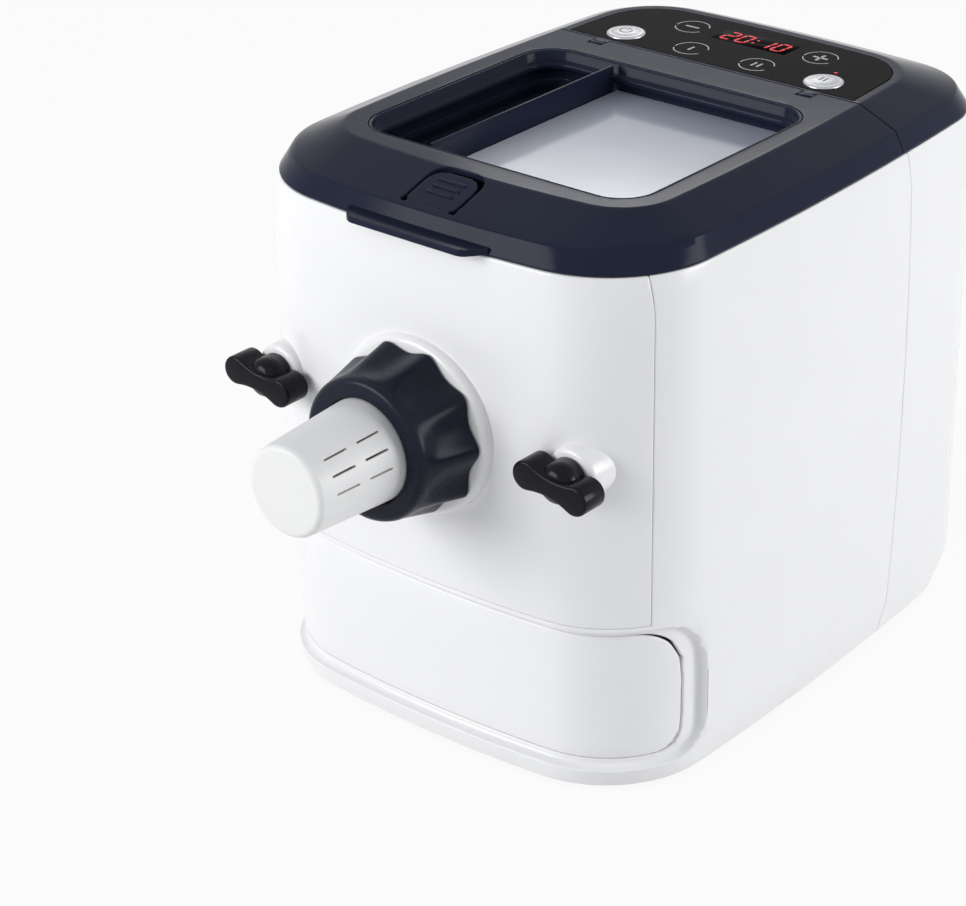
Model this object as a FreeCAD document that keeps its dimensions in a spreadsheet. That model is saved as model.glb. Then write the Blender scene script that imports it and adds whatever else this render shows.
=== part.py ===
import FreeCAD, Part
import math
import os
import Sketcher
from FreeCAD import Placement, Rotation, Vector

# Electric pasta maker, in millimetres.
# Origin: middle of the footprint on the worktop. +X is the user's right,
# the nozzle faces -Y and +Z points up.

SIZES = {
    # Body outline, seen from above
    "body_half_width": 120.0,
    "body_front": -113.0,
    "body_rear": 200.0,
    "front_corner": 56.0,
    "rear_corner": 42.0,
    "front_bow": 650.0,
    "side_bow": 1800.0,
    "rear_bow": 900.0,
    # Body heights
    "body_bottom": 2.5,
    "chamfer_top": 21.0,
    "shoulder_start": 236.0,
    "shoulder_middle": 250.0,
    "body_top": 258.7,
    "bottom_inset": 4.0,
    "bottom_rear_inset": 10.0,
    "shoulder_inset": 0.8,
    "top_inset": 2.5,
    # Body walls and parting lines
    "body_wall": 3.0,
    "panel_wall": 3.0,
    "backing_wall": 2.8,
    "parting_gap": 0.4,
    "seat_gap": 0.2,
    "panel_edge": -83.0,
    "panel_bottom": 88.5,
    "rear_split": 111.0,
    "rear_split_bow": 1300.0,
    "rear_split_level": 150.0,
    # Storage drawer and the arch around it
    "arch_rear": -51.0,
    "arch_top": 86.0,
    "arch_bottom": 12.0,
    "arch_upper_radius": 30.0,
    "arch_lower_radius": 18.0,
    "arch_step": 5.2,
    "arch_ledge": 11.0,
    "arch_rim": 4.0,
    "drawer_wall": 2.4,
    "drawer_side_inset": 22.0,
    "drawer_depth": 130.0,
    "drawer_height": 58.0,
    "drawer_gap": 0.4,
    # Base
    "base_thickness": 3.0,
    "foot_radius": 11.0,
    "foot_height": 6.0,
    "foot_inset": 38.0,
    "foot_front": -62.0,
    "foot_rear": 150.0,
    "foot_lip": 2.0,
    "screw_front_inset": 13.0,
    "screw_front": -30.0,
    "screw_rear_inset": 19.0,
    "screw_rear": 128.0,
    "screw_boss_radius": 4.5,
    "screw_boss_top": 17.0,
    "screw_radius": 1.6,
    "screw_head_radius": 3.4,
    "screw_head": 1.9,
    "screw_length": 12.0,
    "rail_across": 72.0,
    "rail_front": -60.0,
    "rail_rear": 40.0,
    "rail_width": 4.0,
    # Vents in the rear housing
    "vent_across": 24.0,
    "vent_length": 36.0,
    "vent_height": 3.5,
    "vent_pitch": 9.0,
    "vent_rows": 7.0,
    "vent_bottom": 96.0,
    # Lid and rear cover
    "lid_bottom": 259.0,
    "band_top": 268.5,
    "plateau": 277.5,
    "band_inset": 4.7,
    "plateau_half_width": 92.0,
    "plateau_front": -76.5,
    "plateau_rear": 169.0,
    "plateau_front_corner": 28.0,
    "plateau_rear_corner": 34.0,
    "lid_wall": 3.0,
    "lid_split": 103.1,
    # Opening in the lid
    "opening_left": -78.5,
    "opening_right": 79.4,
    "opening_front": -61.0,
    "opening_rear": 79.0,
    "opening_corner": 17.0,
    "bezel_wall": 2.0,
    "bezel_bottom": 260.0,
    "bead_radius": 2.4,
    "bead_height": 269.5,
    "ledge_width": 4.0,
    "window_level": 262.0,
    "window_thickness": 2.0,
    "divider_place": -35.5,
    "divider_thickness": 1.2,
    "tray_wall": 1.6,
    "water_slot_margin": 8.9,
    "water_slot_length": 14.0,
    "water_slot_width": 3.0,
    "water_slot_pitch": 16.0,
    "water_slot_start": 21.0,
    # Lid hinge, handle and latch
    "hinge_radius": 3.5,
    "hinge_across": 62.0,
    "hinge_ear_width": 8.0,
    "hinge_pin_radius": 1.5,
    "hinge_running_gap": 0.05,
    "hinge_boss_width": 7.0,
    "handle_half_width": 42.0,
    "handle_reach": 8.5,
    "handle_thickness": 3.2,
    "handle_corner": 8.0,
    "latch_half_width": 14.0,
    "latch_front": -98.5,
    "latch_rear": -79.5,
    "latch_corner": 8.0,
    "latch_groove": 1.3,
    "latch_travel": 2.4,
    "rib_half_width": 7.5,
    "rib_start": 3.5,
    "rib_pitch": 4.2,
    "rib_gap": 1.4,
    "hook_front": -103.4,
    "hook_thickness": 2.0,
    "hook_half_width": 6.0,
    "hook_reach": 2.1,
    # Control panel
    "glass_thickness": 2.0,
    "glass_margin": 4.6,
    "glass_front": 105.0,
    "glass_rear": 164.0,
    "cover_plate": 3.0,
    "button_radius": 9.8,
    "button_gap": 0.3,
    "button_across": 59.0,
    "button_row": 117.5,
    "button_rise": 1.5,
    "button_travel": 1.2,
    "display_half_width": 22.0,
    "display_row": 145.5,
    "display_half_depth": 7.7,
    "light_across": 56.5,
    "light_row": 131.7,
    "light_radius": 1.5,
    "board_thickness": 1.6,
    "board_level": 263.0,
    "board_half_width": 78.0,
    "board_post_across": 74.6,
    "board_post_radius": 2.6,
    # Mixing bowl
    "deck_level": 248.0,
    "deck_thickness": 3.0,
    "bowl_half_width": 64.0,
    "bowl_wall": 2.5,
    "bowl_front": -96.0,
    "bowl_rear": 74.5,
    "bowl_flange": 4.5,
    "bowl_front_flange": 2.6,
    "gasket_across": 87.5,
    "gasket_front": -98.2,
    "gasket_rear": 87.6,
    "gasket_width": 3.0,
    "flange_thickness": 2.9,
    # Drive line
    "shaft_level": 167.7,
    "shaft_radius": 8.0,
    "stirrer_radius": 57.0,
    "stirrer_tube_radius": 10.5,
    "auger_radius": 19.8,
    "auger_pitch": 18.0,
    "auger_blade": 3.0,
    "hex_radius": 6.0,
    "running_gap": 0.05,
    "chassis_front": 77.0,
    "chassis_thickness": 4.0,
    "chassis_inset": 8.0,
    "chassis_window_across": 80.0,
    "chassis_window_size": 44.0,
    "chassis_window_bottom": 20.0,
    "bearing_wall": 5.0,
    "gear_module": 2.0,
    "wheel_teeth": 60.0,
    "pinion_teeth": 15.0,
    "gear_front": 88.0,
    "gear_width": 10.0,
    "gear_cover_rear": 105.0,
    "gear_cover_wall": 3.0,
    "motor_radius": 36.0,
    "motor_length": 66.0,
    "motor_shaft_radius": 4.0,
    "fan_radius": 33.0,
    # Nozzle
    "barrel_radius": 30.0,
    "barrel_bore": 20.5,
    "thread_radius": 31.45,
    "thread_start": -120.0,
    "thread_pitch": 4.0,
    "barrel_front": -137.0,
    "collar_radius": 43.5,
    "collar_rise": 4.0,
    "nut_back": -117.6,
    "nut_front": -149.5,
    "nut_back_radius": 38.6,
    "nut_front_radius": 34.4,
    "nut_lobes": 10.0,
    "nut_lobe_height": 2.8,
    "nut_bore": 31.5,
    "die_root_radius": 25.0,
    "die_tip_radius": 21.8,
    "die_wall": 2.5,
    "die_tip": -200.0,
    "die_flange": 4.0,
    "die_slot_length": 13.6,
    "die_slot_width": 1.0,
    "die_slot_degrees": 21.5,
    "die_slot_start": 10.0,
    "die_slot_pitch": 20.0,
    "die_hole_radius": 2.0,
    "die_hole_degrees": 14.0,
    "die_hole_rows": 7.0,
    "die_hole_start": 12.0,
    "die_hole_pitch": 6.0,
    # Wing knobs
    "knob_across": 87.0,
    "knob_length": 37.2,
    "knob_end_radius": 7.0,
    "knob_waist": 4.6,
    "knob_front": -127.0,
    "knob_back": -112.2,
    "knob_boss_front": -111.6,
    "knob_hub_radius": 9.6,
    "knob_tilt": 11.3,
    "knob_stud_radius": 4.0,
    "knob_boss_radius": 13.0,
    # Mains inlet
    "inlet_across": 62.0,
    "inlet_level": 42.0,
    "inlet_half_width": 13.5,
    "inlet_half_height": 10.0,
    "inlet_depth": 18.0,
    "inlet_recess": 2.4,
    # Power board
    "power_left": -94.0,
    "power_width": 50.0,
    "power_front": 105.0,
    "power_length": 70.0,
    "power_rise": 8.0,
}

doc = FreeCAD.newDocument("pasta_maker")
sheet = doc.addObject("Spreadsheet::Sheet", "sizes")


class Size:
    """A length that carries both its number and its formula over the sheet's cells."""

    def __init__(self, value, formula):
        self.value = float(value)
        self.formula = formula

    def __add__(self, other):
        other = as_size(other)
        return Size(self.value + other.value, f"({self.formula} + {other.formula})")

    def __sub__(self, other):
        other = as_size(other)
        return Size(self.value - other.value, f"({self.formula} - {other.formula})")

    def __mul__(self, other):
        other = as_size(other)
        return Size(self.value * other.value, f"({self.formula} * {other.formula})")

    def __truediv__(self, other):
        other = as_size(other)
        return Size(self.value / other.value, f"({self.formula} / {other.formula})")

    def __neg__(self):
        return Size(-self.value, f"(-1 * {self.formula})")

    __radd__ = __add__
    __rmul__ = __mul__

    def __rsub__(self, other):
        return as_size(other) - self


def as_size(number):
    """A plain number as a Size."""
    if isinstance(number, Size):
        return number
    return Size(number, repr(float(number)))


class Cells:
    """The sheet's cells, read by their aliases."""

    def __getattr__(self, name):
        return Size(SIZES[name], f"sizes.{name}")


for row, (cell_name, cell_value) in enumerate(SIZES.items(), start=1):
    sheet.set(f"A{row}", cell_name.replace("_", " "))
    sheet.set(f"B{row}", str(cell_value))
    sheet.setAlias(f"B{row}", cell_name)
doc.recompute()
S = Cells()
PARTS = []


def node(thing, name):
    """Keep an object as a sub-part: its label names its file."""
    thing.Label = name
    PARTS.append(thing)
    return thing


def place(thing, x=0.0, y=0.0, z=0.0, rotation=None):
    """Put an object's placement on the sheet."""
    spot = [as_size(x), as_size(y), as_size(z)]
    thing.Placement = Placement(Vector(*[s.value for s in spot]), rotation or Rotation())
    for letter, s in zip("xyz", spot):
        thing.setExpression(f"Placement.Base.{letter}", s.formula)
    return thing


def box(name, x, y, z):
    """A block between two values on each axis."""
    thing = doc.addObject("Part::Box", name)
    for prop, (low, high) in zip(("Length", "Width", "Height"), (x, y, z)):
        span = as_size(high) - low
        setattr(thing, prop, span.value)
        thing.setExpression(prop, span.formula)
    return place(thing, x[0], y[0], z[0])


TURN = {
    "x": Rotation(Vector(0, 1, 0), 90),
    "y": Rotation(Vector(1, 0, 0), -90),
    "z": Rotation(),
}


def rod(name, axis, radius, start, length):
    """A cylinder from a start point along +X, +Y or +Z."""
    thing = doc.addObject("Part::Cylinder", name)
    for prop, s in (("Radius", as_size(radius)), ("Height", as_size(length))):
        setattr(thing, prop, s.value)
        thing.setExpression(prop, s.formula)
    return place(thing, *start, rotation=TURN[axis])


def cut(name, base, *tools):
    """The base less its tools."""
    thing = doc.addObject("Part::Cut", name)
    thing.Base = base
    thing.Tool = tools[0] if len(tools) == 1 else fuse(name + "_tools", *tools)
    return thing


def fuse(name, *pieces):
    """Several pieces as one."""
    thing = doc.addObject("Part::MultiFuse", name)
    thing.Shapes = list(pieces)
    return thing


def common(name, *pieces):
    """What the pieces share."""
    thing = doc.addObject("Part::MultiCommon", name)
    thing.Shapes = list(pieces)
    return thing


def rounded(name, base, radius, wanted):
    """Fillet the edges that a test picks."""
    doc.recompute()
    thing = doc.addObject("Part::Fillet", name)
    thing.Base = base
    size = as_size(radius).value
    thing.Edges = [(i, size, size) for i, edge in enumerate(base.Shape.Edges, start=1) if wanted(edge)]
    return thing


def upright(edge):
    """True for a straight edge along Z."""
    box_size = edge.BoundBox
    return box_size.XLength < 0.01 and box_size.YLength < 0.01


def new_body(name):
    """An empty body for sketched features."""
    thing = doc.addObject("PartDesign::Body", name)
    return thing


def sketch(body, name, role, points, offset=0.0):
    """A closed outline of straight runs, each corner tied to the sheet."""
    plane = [f for f in body.Origin.OriginFeatures if f.Role == role][0]
    outline = body.newObject("Sketcher::SketchObject", name)
    outline.AttachmentSupport = [(plane, "")]
    outline.MapMode = "FlatFace"
    shift = as_size(offset)
    outline.AttachmentOffset = Placement(Vector(0, 0, shift.value), Rotation())
    outline.setExpression("AttachmentOffset.Base.z", shift.formula)
    spots = [(as_size(a), as_size(b)) for a, b in points]
    count = len(spots)
    for i, (a, b) in enumerate(spots):
        c, d = spots[(i + 1) % count]
        outline.addGeometry(Part.LineSegment(Vector(a.value, b.value, 0), Vector(c.value, d.value, 0)), False)
    for i in range(count):
        outline.addConstraint(Sketcher.Constraint("Coincident", i, 2, (i + 1) % count, 1))
    for i, (a, b) in enumerate(spots):
        for kind, s in (("DistanceX", a), ("DistanceY", b)):
            index = outline.addConstraint(Sketcher.Constraint(kind, -1, 1, i, 1, s.value))
            outline.setExpression(f"Constraints[{index}]", s.formula)
    return outline


def turned(name, profile, level=0.0, across=0.0, role="YZ_Plane"):
    """A turned piece: (distance along the axis, radius) corners spun about the axis.

    On YZ_Plane the axis runs along Y, at the given level and distance across.
    """
    body = new_body(name)
    outline = sketch(body, name + "_profile", role, profile)
    spin = body.newObject("PartDesign::Revolution", name + "_spin")
    spin.Profile = outline
    spin.ReferenceAxis = (outline, ["H_Axis"])
    spin.Angle = 360.0
    return place(body, across, 0.0, level)


def turned_upright(name, profile, x, y):
    """A turned piece on an upright axis: (radius, height) corners."""
    body = new_body(name)
    outline = sketch(body, name + "_profile", "XZ_Plane", profile)
    spin = body.newObject("PartDesign::Revolution", name + "_spin")
    spin.Profile = outline
    spin.ReferenceAxis = (outline, ["V_Axis"])
    spin.Angle = 360.0
    return place(body, x, y, 0.0)


def padded_outline(name, role, points, start, length):
    """A prism: the outline lies at start along the plane's normal and grows by length."""
    body = new_body(name)
    outline = sketch(body, name + "_outline", role, points, start)
    pad = body.newObject("PartDesign::Pad", name + "_pad")
    pad.Profile = outline
    span = as_size(length)
    pad.Length = span.value
    pad.setExpression("Length", span.formula)
    return body


# The bowed outlines
# The body, the lid and the rear cover share one plan: four shallow arcs joined by four corner arcs.

def corner_centre(bow_centre, bow_radius, side_centre, side_radius, corner):
    """Centre of a corner arc that touches two bowed sides from inside."""
    a = bow_radius - corner
    b = side_radius - corner
    gap = side_centre - bow_centre
    reach = gap.Length
    along = (a * a - b * b + reach * reach) / (2 * reach)
    aside = math.sqrt(a * a - along * along)
    unit = gap / reach
    normal = Vector(-unit.y, unit.x, 0)
    options = [bow_centre + unit * along + normal * aside, bow_centre + unit * along - normal * aside]
    return max(options, key=lambda point: point.x)


def touch(centre, radius, corner):
    """Where a corner arc meets a bowed side."""
    direction = corner - centre
    return centre + direction * (radius / direction.Length)


def corner_middle(corner, first, second, radius):
    """The middle of a corner arc, halfway round from one side to the next."""
    a = (corner - first).normalize()
    b = (corner - second).normalize()
    return corner + (a + b).normalize() * radius


def bowed_wire(z, half_width, front, rear, front_corner, rear_corner, inset=0.0):
    """One closed plan outline at a height, moved in by an inset all round."""
    bow = SIZES["front_bow"] - inset
    side = SIZES["side_bow"] - inset
    back = SIZES["rear_bow"] - inset
    half_width -= inset
    front += inset
    rear -= inset
    front_corner = max(front_corner - inset, 2.0)
    rear_corner = max(rear_corner - inset, 2.0)
    bow_centre = Vector(0, front + bow, 0)
    back_centre = Vector(0, rear - back, 0)
    side_centre = Vector(half_width - side, 0, 0)
    near = corner_centre(bow_centre, bow, side_centre, side, front_corner)
    far = corner_centre(back_centre, back, side_centre, side, rear_corner)
    ends = [
        touch(bow_centre, bow, near), touch(side_centre, side, near),
        touch(side_centre, side, far), touch(back_centre, back, far),
    ]
    middles = [
        corner_middle(near, bow_centre, side_centre, front_corner),
        Vector(half_width, 0, 0),
        corner_middle(far, side_centre, back_centre, rear_corner),
    ]
    lift = Vector(0, 0, z)

    def mirrored(point):
        return Vector(-point.x, point.y, 0)

    def arc(a, b, c):
        return Part.Arc(a + lift, b + lift, c + lift).toShape()

    edges = [arc(mirrored(ends[0]), Vector(0, front, 0), ends[0])]
    edges += [arc(ends[i], middles[i], ends[i + 1]) for i in range(3)]
    edges.append(arc(ends[3], Vector(0, rear, 0), mirrored(ends[3])))
    edges += [arc(mirrored(ends[i + 1]), mirrored(middles[i]), mirrored(ends[i])) for i in (2, 1, 0)]
    return Part.Wire(edges)


def bowed_solid(name, levels, inset=0.0):
    """A stack of bowed outlines joined by ruled walls."""
    sections = []
    for i, level in enumerate(levels):
        section = doc.addObject("Part::Feature", f"{name}_level_{i}")
        section.Shape = bowed_wire(*level, inset=inset)
        sections.append(section)
    loft = doc.addObject("Part::Loft", name)
    loft.Sections = sections
    loft.Solid = True
    loft.Ruled = True
    return loft


V = SIZES


def body_levels(over=0.0):
    """Heights and outlines of the body, its ends carried on by over."""
    width, front, rear = V["body_half_width"], V["body_front"], V["body_rear"]
    corners = (V["front_corner"], V["rear_corner"])
    low = V["bottom_inset"]
    low_rear = V["bottom_rear_inset"]
    mid = V["shoulder_inset"]
    top = V["top_inset"]
    return [
        (V["body_bottom"] - over, width - low, front + low, rear - low_rear, *corners),
        (V["chamfer_top"], width, front, rear, *corners),
        (V["shoulder_start"], width, front, rear, *corners),
        (V["shoulder_middle"], width - mid, front + mid, rear - mid, *corners),
        (V["body_top"] + over, width - top, front + top, rear - top, *corners),
    ]


def lid_levels(drop=0.0, over=0.0):
    """Heights and outlines of the lid and rear cover, lowered by drop for the hollow inside."""
    width = V["body_half_width"] - V["top_inset"]
    front = V["body_front"] + V["top_inset"] - 0.5
    rear = V["body_rear"] - V["top_inset"] + 0.5
    band = V["band_inset"]
    corners = (V["front_corner"], V["rear_corner"])
    return [
        (V["lid_bottom"] - over, width, front, rear, *corners),
        (V["band_top"] - drop / 2, width - band, front + band, rear - band, *corners),
        (V["plateau"] - drop, V["plateau_half_width"], V["plateau_front"], V["plateau_rear"],
         V["plateau_front_corner"], V["plateau_rear_corner"]),
    ]


FAR = 400.0
EVERYWHERE = (-FAR, FAR)

# Body shells
body_outer = bowed_solid("body_outer", body_levels())
skin_depth = V["body_wall"]
panel_seat_depth = V["panel_wall"] + V["seat_gap"]
backing_depth = panel_seat_depth + V["backing_wall"]
arch_frame_depth = V["arch_step"] + V["body_wall"]
hollow_skin = bowed_solid("hollow_skin", body_levels(1.0), skin_depth)
hollow_seat = bowed_solid("hollow_seat", body_levels(1.0), panel_seat_depth)
hollow_backing = bowed_solid("hollow_backing", body_levels(1.0), backing_depth)
hollow_arch = bowed_solid("hollow_arch", body_levels(1.0), arch_frame_depth)
arch_floor = bowed_solid("arch_floor", body_levels(1.0), V["arch_step"])


def side_arch(name, rear, bottom, top, upper_radius, lower_radius):
    """The drawer's side profile as a prism across the whole body."""
    block = box(name + "_block", EVERYWHERE, (-FAR, rear), (bottom, top))
    upper = rounded(name + "_upper", block, upper_radius, along_x_at(rear, top))
    return rounded(name, upper, lower_radius, along_x_at(rear, bottom))


def along_x_at(y, z):
    """A test for the edge along X at a given place."""
    place_y = as_size(y).value
    place_z = as_size(z).value

    def wanted(edge):
        extent = edge.BoundBox
        flat = extent.YLength < 0.01 and extent.ZLength < 0.01
        return flat and abs(extent.YMin - place_y) < 0.01 and abs(extent.ZMin - place_z) < 0.01

    return wanted


opening_rear = S.arch_rear - S.arch_ledge
opening_top = S.arch_top - S.arch_rim
opening_bottom = S.arch_bottom + S.arch_rim
opening_upper_radius = S.arch_upper_radius - S.arch_rim
opening_lower_radius = S.arch_lower_radius - S.arch_rim
arch_recess = side_arch("arch_recess", S.arch_rear, S.arch_bottom, S.arch_top,
                        S.arch_upper_radius, S.arch_lower_radius)
drawer_hole = side_arch("drawer_hole", opening_rear, opening_bottom, opening_top,
                        opening_upper_radius, opening_lower_radius)
arch_rebate = cut("arch_rebate", arch_recess, arch_floor)

panel_zone = box("panel_zone", EVERYWHERE, (-FAR, S.panel_edge), (S.panel_bottom - S.parting_gap, FAR))
panel_rebate = cut("panel_rebate", panel_zone, hollow_seat)
link_zone = box("link_zone", EVERYWHERE, (S.panel_edge + 9, FAR), (S.arch_top + 6, FAR))
above_arch = box("above_arch", EVERYWHERE, EVERYWHERE, (S.arch_top + 6, FAR))
behind_arch = box("behind_arch", EVERYWHERE, (S.arch_rear + 7, FAR), EVERYWHERE)
hollow_sides = common("hollow_sides", hollow_skin, link_zone)
hollow_front = common("hollow_front", hollow_backing, above_arch)
hollow_rear = common("hollow_rear", hollow_skin, behind_arch)
split_centre = (-FAR, S.rear_split - S.rear_split_bow, S.rear_split_level)
main_zone = rod("main_zone", "x", S.rear_split_bow, split_centre, 2 * FAR)
main_block = common("main_block", body_outer, main_zone)
nozzle_clearance = rod("nozzle_clearance", "y", S.barrel_radius + 1, (0, -FAR, S.shaft_level), FAR - 40)


def knob_holes(name, radius):
    """Two holes for the wing knobs' studs."""
    return [
        rod(f"{name}_{side}", "y", radius, (sign * S.knob_across, -FAR, S.shaft_level), FAR - 40)
        for side, sign in (("left", -1.0), ("right", 1.0))
    ]


screw_front_across = S.body_half_width - S.screw_front_inset
screw_rear_across = S.body_half_width - S.screw_rear_inset
SCREWS = {
    "front_left": (-1 * screw_front_across, S.screw_front),
    "front_right": (screw_front_across, S.screw_front),
    "rear_left": (-1 * screw_rear_across, S.screw_rear),
    "rear_right": (screw_rear_across, S.screw_rear),
}
base_top = S.body_bottom + S.base_thickness


def screw_bosses(end):
    """Two posts for the base screws, each tied to the wall beside it."""
    posts = []
    for side, sign in (("left", -1), ("right", 1)):
        name = f"{end}_{side}"
        x, y = SCREWS[name]
        post = rod(f"boss_{name}", "z", S.screw_boss_radius, (x, y, base_top), S.screw_boss_top - base_top)
        wall = x + sign * S.screw_rear_inset
        reach = (x, wall) if sign > 0 else (wall, x)
        rib = box(f"boss_rib_{name}", reach, (y - 1.5, y + 1.5), (base_top, S.screw_boss_top))
        posts += [common(f"boss_post_{name}", post, body_outer), common(f"boss_tie_{name}", rib, body_outer)]
    return posts


def screw_holes(name, radius, start, length):
    """Holes for the four base screws."""
    return [rod(f"{name}_{spot}", "z", radius, (x, y, start), length) for spot, (x, y) in SCREWS.items()]


housing_shell = cut("housing_shell", main_block, hollow_sides, hollow_front, hollow_rear, hollow_arch,
                    panel_rebate, arch_rebate, drawer_hole, nozzle_clearance,
                    *knob_holes("housing_stud_hole", S.knob_stud_radius + S.running_gap))
node(cut("main_housing", fuse("housing_with_bosses", housing_shell, *screw_bosses("front")),
         *screw_holes("housing_pilot", S.screw_radius, base_top - 1, S.screw_length - 1)), "main_housing")

front_zone = box("front_zone", EVERYWHERE, (-FAR, S.panel_edge - S.parting_gap), (S.panel_bottom, FAR))
panel_core = bowed_solid("panel_core", body_levels(1.0), V["panel_wall"])
front_block = common("front_block", body_outer, front_zone)
node(cut("front_panel", front_block, panel_core,
         rod("panel_nozzle_hole", "y", S.barrel_radius + 1, (0, -FAR, S.shaft_level), FAR),
         *knob_holes("panel_stud_hole", S.knob_stud_radius + 1)), "front_panel")

# Rear housing with its vents and inlet
rear_cutter = rod("rear_cutter", "x", S.rear_split_bow + S.parting_gap, split_centre, 2 * FAR)
rear_block = cut("rear_block", body_outer, rear_cutter)
rear_core = bowed_solid("rear_core", body_levels(1.0), skin_depth)
vent_slots = [
    box(f"vent_{row}_{side}",
        (sign * S.vent_across - S.vent_length / 2, sign * S.vent_across + S.vent_length / 2),
        (S.body_rear - 20, FAR),
        (S.vent_bottom + S.vent_pitch * row, S.vent_bottom + S.vent_height + S.vent_pitch * row))
    for row in range(int(V["vent_rows"])) for side, sign in (("left", -1.0), ("right", 1.0))
]
inlet_hole = box("inlet_hole", (S.inlet_across - S.inlet_half_width - S.seat_gap,
                                S.inlet_across + S.inlet_half_width + S.seat_gap),
                 (S.body_rear - 25, FAR),
                 (S.inlet_level - S.inlet_half_height - S.seat_gap,
                  S.inlet_level + S.inlet_half_height + S.seat_gap))
rear_shell = cut("rear_shell", rear_block, rear_core, inlet_hole, *vent_slots)
node(cut("rear_housing", fuse("rear_with_bosses", rear_shell, *screw_bosses("rear")),
         *screw_holes("rear_pilot", S.screw_radius, base_top - 1, S.screw_length - 1)), "rear_housing")

# Base plate with drawer rails and foot sockets
inner_core = bowed_solid("inner_core", body_levels(1.0), skin_depth + V["seat_gap"])
base_front_core = bowed_solid("base_front_core", body_levels(1.0), arch_frame_depth + V["seat_gap"])
base_step = S.arch_rear + 7 + S.seat_gap
base_rear_zone = box("base_rear_zone", EVERYWHERE, (base_step, FAR), (S.body_bottom, base_top))
base_front_zone = box("base_front_zone", EVERYWHERE, (S.body_front + S.arch_step + 8, base_step),
                      (S.body_bottom, base_top))
base_sheet = fuse("base_sheet", common("base_rear_sheet", inner_core, base_rear_zone),
                  common("base_front_sheet", base_front_core, base_front_zone))
rails = [
    box(f"drawer_rail_{side}",
        (sign * S.rail_across - S.rail_width / 2, sign * S.rail_across + S.rail_width / 2),
        (S.rail_front, S.rail_rear), (base_top - 0.5, opening_bottom + 0.1))
    for side, sign in (("left", -1.0), ("right", 1.0))
]
foot_across = S.body_half_width - S.foot_inset
FEET = {
    "foot_front_left": (-1 * foot_across, S.foot_front),
    "foot_front_right": (foot_across, S.foot_front),
    "foot_rear_left": (-1 * foot_across, S.foot_rear),
    "foot_rear_right": (foot_across, S.foot_rear),
}
foot_sockets = [
    rod(name + "_socket", "z", S.foot_radius - S.foot_lip, (x, y, 0.0), 20.0)
    for name, (x, y) in FEET.items()
]
node(cut("base_plate", fuse("base_with_rails", base_sheet, *rails), *foot_sockets,
         *screw_holes("base_screw_hole", S.screw_radius + 0.2, 0.0, 10.0)), "base_plate")
for name, (x, y) in FEET.items():
    neck = S.foot_radius - S.foot_lip
    node(turned_upright(name, [
        (0.0, 0.0), (S.foot_radius - 1.5, 0.0), (S.foot_radius, 1.2), (S.foot_radius, S.body_bottom),
        (neck, S.body_bottom), (neck, S.foot_height), (0.0, S.foot_height),
    ], x, y), name)

# Storage drawer: a curved front that wraps the corners, and a tray
drawer_outer = bowed_solid("drawer_outer", body_levels(1.0), V["arch_step"] + 0.2)
drawer_inner = bowed_solid("drawer_inner", body_levels(2.0), V["arch_step"] + 0.2 + V["drawer_wall"])
drawer_face_shape = side_arch("drawer_face_shape", opening_rear - S.drawer_gap,
                              opening_bottom + S.drawer_gap, opening_top - S.drawer_gap,
                              opening_upper_radius, opening_lower_radius)
drawer_front = cut("drawer_front", common("drawer_front_block", drawer_outer, drawer_face_shape), drawer_inner)
tray_bottom = opening_bottom + S.drawer_gap
tray_front = S.body_front + S.arch_step + 1.2
tray_rear = tray_front + S.drawer_depth
drawer_half_width = S.body_half_width - S.drawer_side_inset
tray_outer = common("tray_outer", drawer_outer, box("tray_block", (-1 * drawer_half_width, drawer_half_width),
                                                    (tray_front, tray_rear),
                                                    (tray_bottom, tray_bottom + S.drawer_height)))
tray_inner_half = drawer_half_width - S.drawer_wall
tray_hollow = common("tray_hollow", drawer_inner,
                     box("tray_hollow_block", (-tray_inner_half, tray_inner_half),
                         (-FAR, tray_rear - S.drawer_wall), (tray_bottom + S.drawer_wall, FAR)))
node(cut("storage_drawer", fuse("drawer_joined", drawer_front, tray_outer), tray_hollow), "storage_drawer")


# Deck and bowl
def round_block(name, x, y, z, radius):
    """A block with its four upright edges rounded."""
    return rounded(name, box(name + "_block", x, y, z), radius, upright)


deck_top = S.deck_level + S.deck_thickness
bowl_gap = 0.5
deck_core = bowed_solid("deck_core", body_levels(1.0), backing_depth + V["seat_gap"])
deck_step = S.panel_edge + 9 + S.seat_gap
deck_front = common("deck_front", deck_core, box("deck_front_zone", EVERYWHERE, (-FAR, deck_step),
                                                 (S.deck_level, deck_top)))
deck_rear = common("deck_rear", inner_core, box("deck_rear_zone", EVERYWHERE, (deck_step, S.lid_split),
                                                (S.deck_level, deck_top)))
slot_front = S.hook_front - 0.8
slot_rear = S.hook_front + S.hook_thickness + S.latch_travel + 0.3
bowl_hole = box("bowl_hole", (-S.bowl_half_width - bowl_gap, S.bowl_half_width + bowl_gap),
                (S.bowl_front - bowl_gap, S.bowl_rear + bowl_gap), (S.deck_level - 1, deck_top + 1))
node(cut("top_deck", fuse("deck_sheet", deck_front, deck_rear), bowl_hole,
         box("latch_slot", (-1 * S.hook_half_width - 2, S.hook_half_width + 2), (slot_front, slot_rear),
             (S.deck_level - 1, deck_top + 1))), "top_deck")


def trough(name, half_width, front, rear, top):
    """An open trough: a block with a half-round bottom about the stirrer's axis."""
    block = box(name + "_upper", (-half_width, half_width), (front, rear), (S.shaft_level, top))
    belly = rod(name + "_belly", "y", half_width, (0.0, front, S.shaft_level), rear - front)
    return fuse(name, block, belly)


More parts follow.
